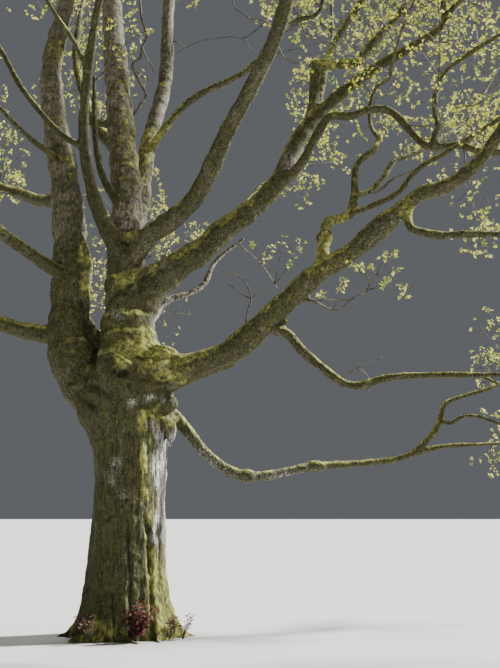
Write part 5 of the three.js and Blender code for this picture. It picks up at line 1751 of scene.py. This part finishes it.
def cut_at_ground(wood):
    """Cuts the skin flat at the ground and closes it there, with nothing left below."""
    select_only(wood)
    bpy.ops.object.mode_set(mode="EDIT")
    bpy.ops.mesh.select_all(action="SELECT")
    bpy.ops.mesh.bisect(plane_co=(0, 0, 0), plane_no=(0, 0, 1), use_fill=True, clear_inner=True)
    bpy.ops.object.mode_set(mode="OBJECT")
    write_places(wood.data, np.maximum(read_places(wood.data), (-np.inf, -np.inf, 0)))
    apply_modifier(wood, "TRIANGULATE")


class MAPLE_OT_bark(bpy.types.Operator):
    """Grow the trunk and limbs as one skin with relief, moss and lichen, in a piece for each limb"""

    bl_idname = "maple.bark"
    bl_label = "Trunk and boughs"

    def execute(self, context):
        settings = context.scene.maple_bark
        bpy.ops.object.select_all(action="DESELECT")
        wood = draw_wood(settings.voxel)
        places, normals = read_places(wood.data), read_normals(wood.data)
        owner, girth, flow = bark_field(places)
        places, cut = carve(places, normals)
        write_places(wood.data, places)
        growth = growth_of(places, normals, owner)
        ribbed = np.where(owner == 0, 1.0, 0.3 * girth / 0.5)
        mossed = growth["moss"] * np.clip(girth / 0.12, 0.3, 1)
        swell(wood, "swell", (girth / 0.5) ** 0.6, settings.swell, *BROAD_SWELL)
        swell(wood, "ribs", ribbed, RIB_DEPTH, *RIB_SWELL)
        swell(wood, "moss", mossed, settings.moss_depth, *MOSS_SWELL)
        wood.vertex_groups.clear()
        # Painted shade: darker in hollows and cut creases, and on limbs that stand in deep shade.
        sunk = hollows(wood.data, HOLLOW_ROUNDS) * (girth / 0.3) ** -0.3
        hollow = 0.7 * np.clip(cut / DARK_CREASE, 0, 1) + smoothstep(HOLLOW_FROM, HOLLOW_TO, sunk)
        for part, amount in SHADED.items():
            hollow[owner == list(TREE_LIMBS).index(part) + 1] += amount
        growth["hollow"] = np.clip(hollow, 0, 1)
        for name, values in {**growth, "flow": flow, "lie": lie_of(places)}.items():
            set_attribute(wood.data, name, values)
        cut_at_ground(wood)
        groups = shared_groups()
        mossy = mossy_bark("mossy bark", settings, groups)
        dead = mossy_bark("pale bark", settings, groups, pale=0.9, cover=-0.4, crusted=0.45)
        for part, piece in cut_into_pieces(wood).items():
            piece.data.materials.clear()
            piece.data.materials.append(dead if part == "bough_pale" else mossy)
            own(piece, "pale_bark" if part == "bough_pale" else "bark", part)
        return {"FINISHED"}


def tinted_leaves(prefix, roughness, settings, names):
    """A material for each of a group's colours."""
    return [soft_leaf(prefix + name.replace("_", " "), getattr(settings, name), roughness) for name in names]


class MAPLE_OT_crown(bpy.types.Operator):
    """Grow the twigs, opening leaves and blossom on from the limbs, by the rule that the solids grow by"""

    bl_idname = "maple.crown"
    bl_label = "Twigs, leaves and blossom"

    def execute(self, context):
        settings = context.scene.maple_leaf
        wood = twig_bark(context.scene.maple_bark)
        green = tinted_leaves("", 0.7, settings, ("leaf_bright", "leaf_green", "leaf_soft"))
        flower = tinted_leaves("", 0.75, settings, ("blossom", "blossom_green"))
        masses, crowns, stems = grow_crown()
        for index, (part, crown) in enumerate(crowns.items()):
            twigs, leaves, blossom = Bundle(), Bundle(), Bundle()
            for ways, radii in crown.twigs.values():
                twigs.add(*tubes_arrays(ways, radii, 3))
            for places, foot in stems[part]:
                route, _ = smooth_route(places, STEM_SPACING)
                twigs.add(*tubes_arrays([route], [np.linspace(foot, STEM_END, len(route))], 6))
            random = random_source(LEAF_SEED + index)
            sizes = settings.leaf_length, settings.blossom_size
            leaf_rows, blossom_rows = open_leaves(crown.ends, random, *sizes, len(green))
            add_copies(leaves, leaf_shape(), leaf_rows)
            add_copies(blossom, blossom_shape(), blossom_rows)
            nodes = [mass.name for mass in masses if mass.part == part]
            own(twigs.mesh("twigs_of_" + part, [wood]), "twig_leaf", *nodes)
            own(leaves.mesh("leaves_of_" + part, green), "twig_leaf", *nodes)
            own(blossom.mesh("blossom_of_" + part, flower), "twig_leaf", *nodes)
        return {"FINISHED"}


def sucker_root(turn, away):
    """Where a clump stands: against the trunk, or at its own distance from the axis."""
    if away is not None:
        return Vector((math.cos(turn) * away, math.sin(turn) * away, 0.005))
    wide, deep, lean = (float(value) for value in trunk_oval(0.0))
    out = float(trunk_relief(np.array([turn]), np.array([0.0]))[0])
    return Vector((lean + math.cos(turn) * (wide + out), math.sin(turn) * (deep + out), 0.02))


def sucker_leaves(way, first_tint, leaf_length, random):
    """Opposite pairs of leaves at a stalk's joints, with two pairs at its tip."""
    rows = []
    for k in (*range(1, len(way)), len(way) - 1):
        along = (way[k] - way[k - 1]).normalized()
        side = square_to(along, k * math.pi / 2 + random())
        for hand in (1, -1):
            out = (along * 0.3 + side * hand + Vector((0, 0, -SUCKER_DROOP * random()))).normalized()
            size = leaf_length * lerp(0.6, 1.2, random())
            tint = min(2, first_tint + int(random() ** 1.6 * 3))
            rows.append((way[k], frame_of(out, random() * 1.4 - 0.7), size, tint))
    return rows


class MAPLE_OT_suckers(bpy.types.Operator):
    """Grow the red-leaved suckers at the foot of the trunk"""

    bl_idname = "maple.suckers"
    bl_label = "Suckers"

    def execute(self, context):
        settings = context.scene.maple_sucker
        tints = tinted_leaves("sucker ", 0.6, settings, ("red", "pink", "orange"))
        stalk = twig_bark(context.scene.maple_bark)
        for name, (bearing, away, shoots, height, wide_fan, first_tint, seed) in SUCKERS.items():
            random = random_source(seed)
            turn = math.radians(bearing)
            root = sucker_root(turn, away)
            rows, ways, radii = [], [], []
            for i in range(shoots):
                fan = turn + ((i + 0.5) / shoots - 0.5) * wide_fan
                spread = lerp(0.2, 1.0, random())
                heading = Vector((math.cos(fan) * spread, math.sin(fan) * spread, 1)).normalized()
                length = height * lerp(0.45, 1.35, random())
                way = []
                for k in range(SUCKER_JOINTS + 1):
                    rise = Vector((0, 0, 0.02 * k))
                    way.append(root + heading * (length * k / SUCKER_JOINTS) + rise + jitter(random) * 0.02)
                ways.append([tuple(place) for place in way])
                radii.append(np.linspace(STALK_FOOT, STALK_TIP, len(way)))
                rows += sucker_leaves(way, first_tint, settings.leaf_length, random)
            bundle = Bundle()
            add_copies(bundle, leaf_shape(), rows)
            verts, faces = tubes_arrays(ways, radii, 4)
            bundle.add(verts, faces, np.full(len(faces), len(tints), np.int32))
            for verts in bundle.verts:
                verts[:, 2] = np.maximum(verts[:, 2], ABOVE_GROUND)
            piece = bundle.mesh(name + "_leaves", [*tints, stalk])
            own(piece, "sucker_leaf", *([name] if away is None else []))
        return {"FINISHED"}


class MAPLE_OT_stage(bpy.types.Operator):
    """Set the plain floor, the soft lights and the camera"""

    bl_idname = "maple.stage"
    bl_label = "Stage"

    def execute(self, context):
        settings = context.scene.maple_stage
        bpy.ops.mesh.primitive_plane_add(size=FLOOR_SIZE, location=(0, 0, -0.001))
        floor = context.object
        floor.name = "floor"
        material, wires = new_material("floor")
        finish_material(material, wires, rgba(settings.floor), 0.9)
        floor.data.materials.append(material)
        world = bpy.data.worlds.new("studio")
        context.scene.world = world
        world.use_nodes = True
        backdrop = world.node_tree.nodes["Background"]
        backdrop.inputs["Color"].default_value = rgba(settings.backdrop)
        backdrop.inputs["Strength"].default_value = 1.0
        for name, (angle, place) in LIGHTS.items():
            bpy.ops.object.light_add(type="SUN", location=place)
            light = context.object
            light.name = name
            light.data.energy = getattr(settings, name)
            light.data.angle = math.radians(angle)
            aim = LIGHT_AIM - Vector(place)
            light.rotation_euler = aim.to_track_quat("-Z", "Y").to_euler()
        bpy.ops.object.camera_add(location=(CAMERA_X, CAMERA_Y, settings.eye_height))
        camera = context.object
        camera.rotation_euler = (math.pi / 2 + settings.look_up, 0, 0)
        camera.data.lens = settings.lens
        camera.data.clip_end = 500
        context.scene.camera = camera
        return {"FINISHED"}


class MAPLE_PT_panel(bpy.types.Panel):
    """The steps and settings of the maple"""

    bl_label = "Maple"
    bl_idname = "MAPLE_PT_panel"
    bl_space_type = "VIEW_3D"
    bl_region_type = "UI"
    bl_category = "Maple"

    def draw(self, context):
        for operator, group in STEPS:
            box = self.layout.box()
            box.operator(operator.bl_idname)
            settings = getattr(context.scene, group)
            for name in settings.__annotations__:
                box.prop(settings, name)


SETTINGS = {
    "maple_bark": BarkSettings, "maple_leaf": LeafSettings,
    "maple_sucker": SuckerSettings, "maple_stage": StageSettings,
}
STEPS = [
    (MAPLE_OT_bark, "maple_bark"), (MAPLE_OT_crown, "maple_leaf"),
    (MAPLE_OT_suckers, "maple_sucker"), (MAPLE_OT_stage, "maple_stage"),
]
CLASSES = [*SETTINGS.values(), *(operator for operator, _ in STEPS), MAPLE_PT_panel]


def register():
    for item in CLASSES:
        bpy.utils.register_class(item)
    for name, group in SETTINGS.items():
        setattr(bpy.types.Scene, name, PointerProperty(type=group))


def unregister():
    for name in SETTINGS:
        delattr(bpy.types.Scene, name)
    for item in reversed(CLASSES):
        bpy.utils.unregister_class(item)


def main():
    register()
    bpy.ops.maple.bark()
    bpy.ops.maple.crown()
    bpy.ops.maple.suckers()
    bpy.ops.maple.stage()


if __name__ == "__main__":
    main()
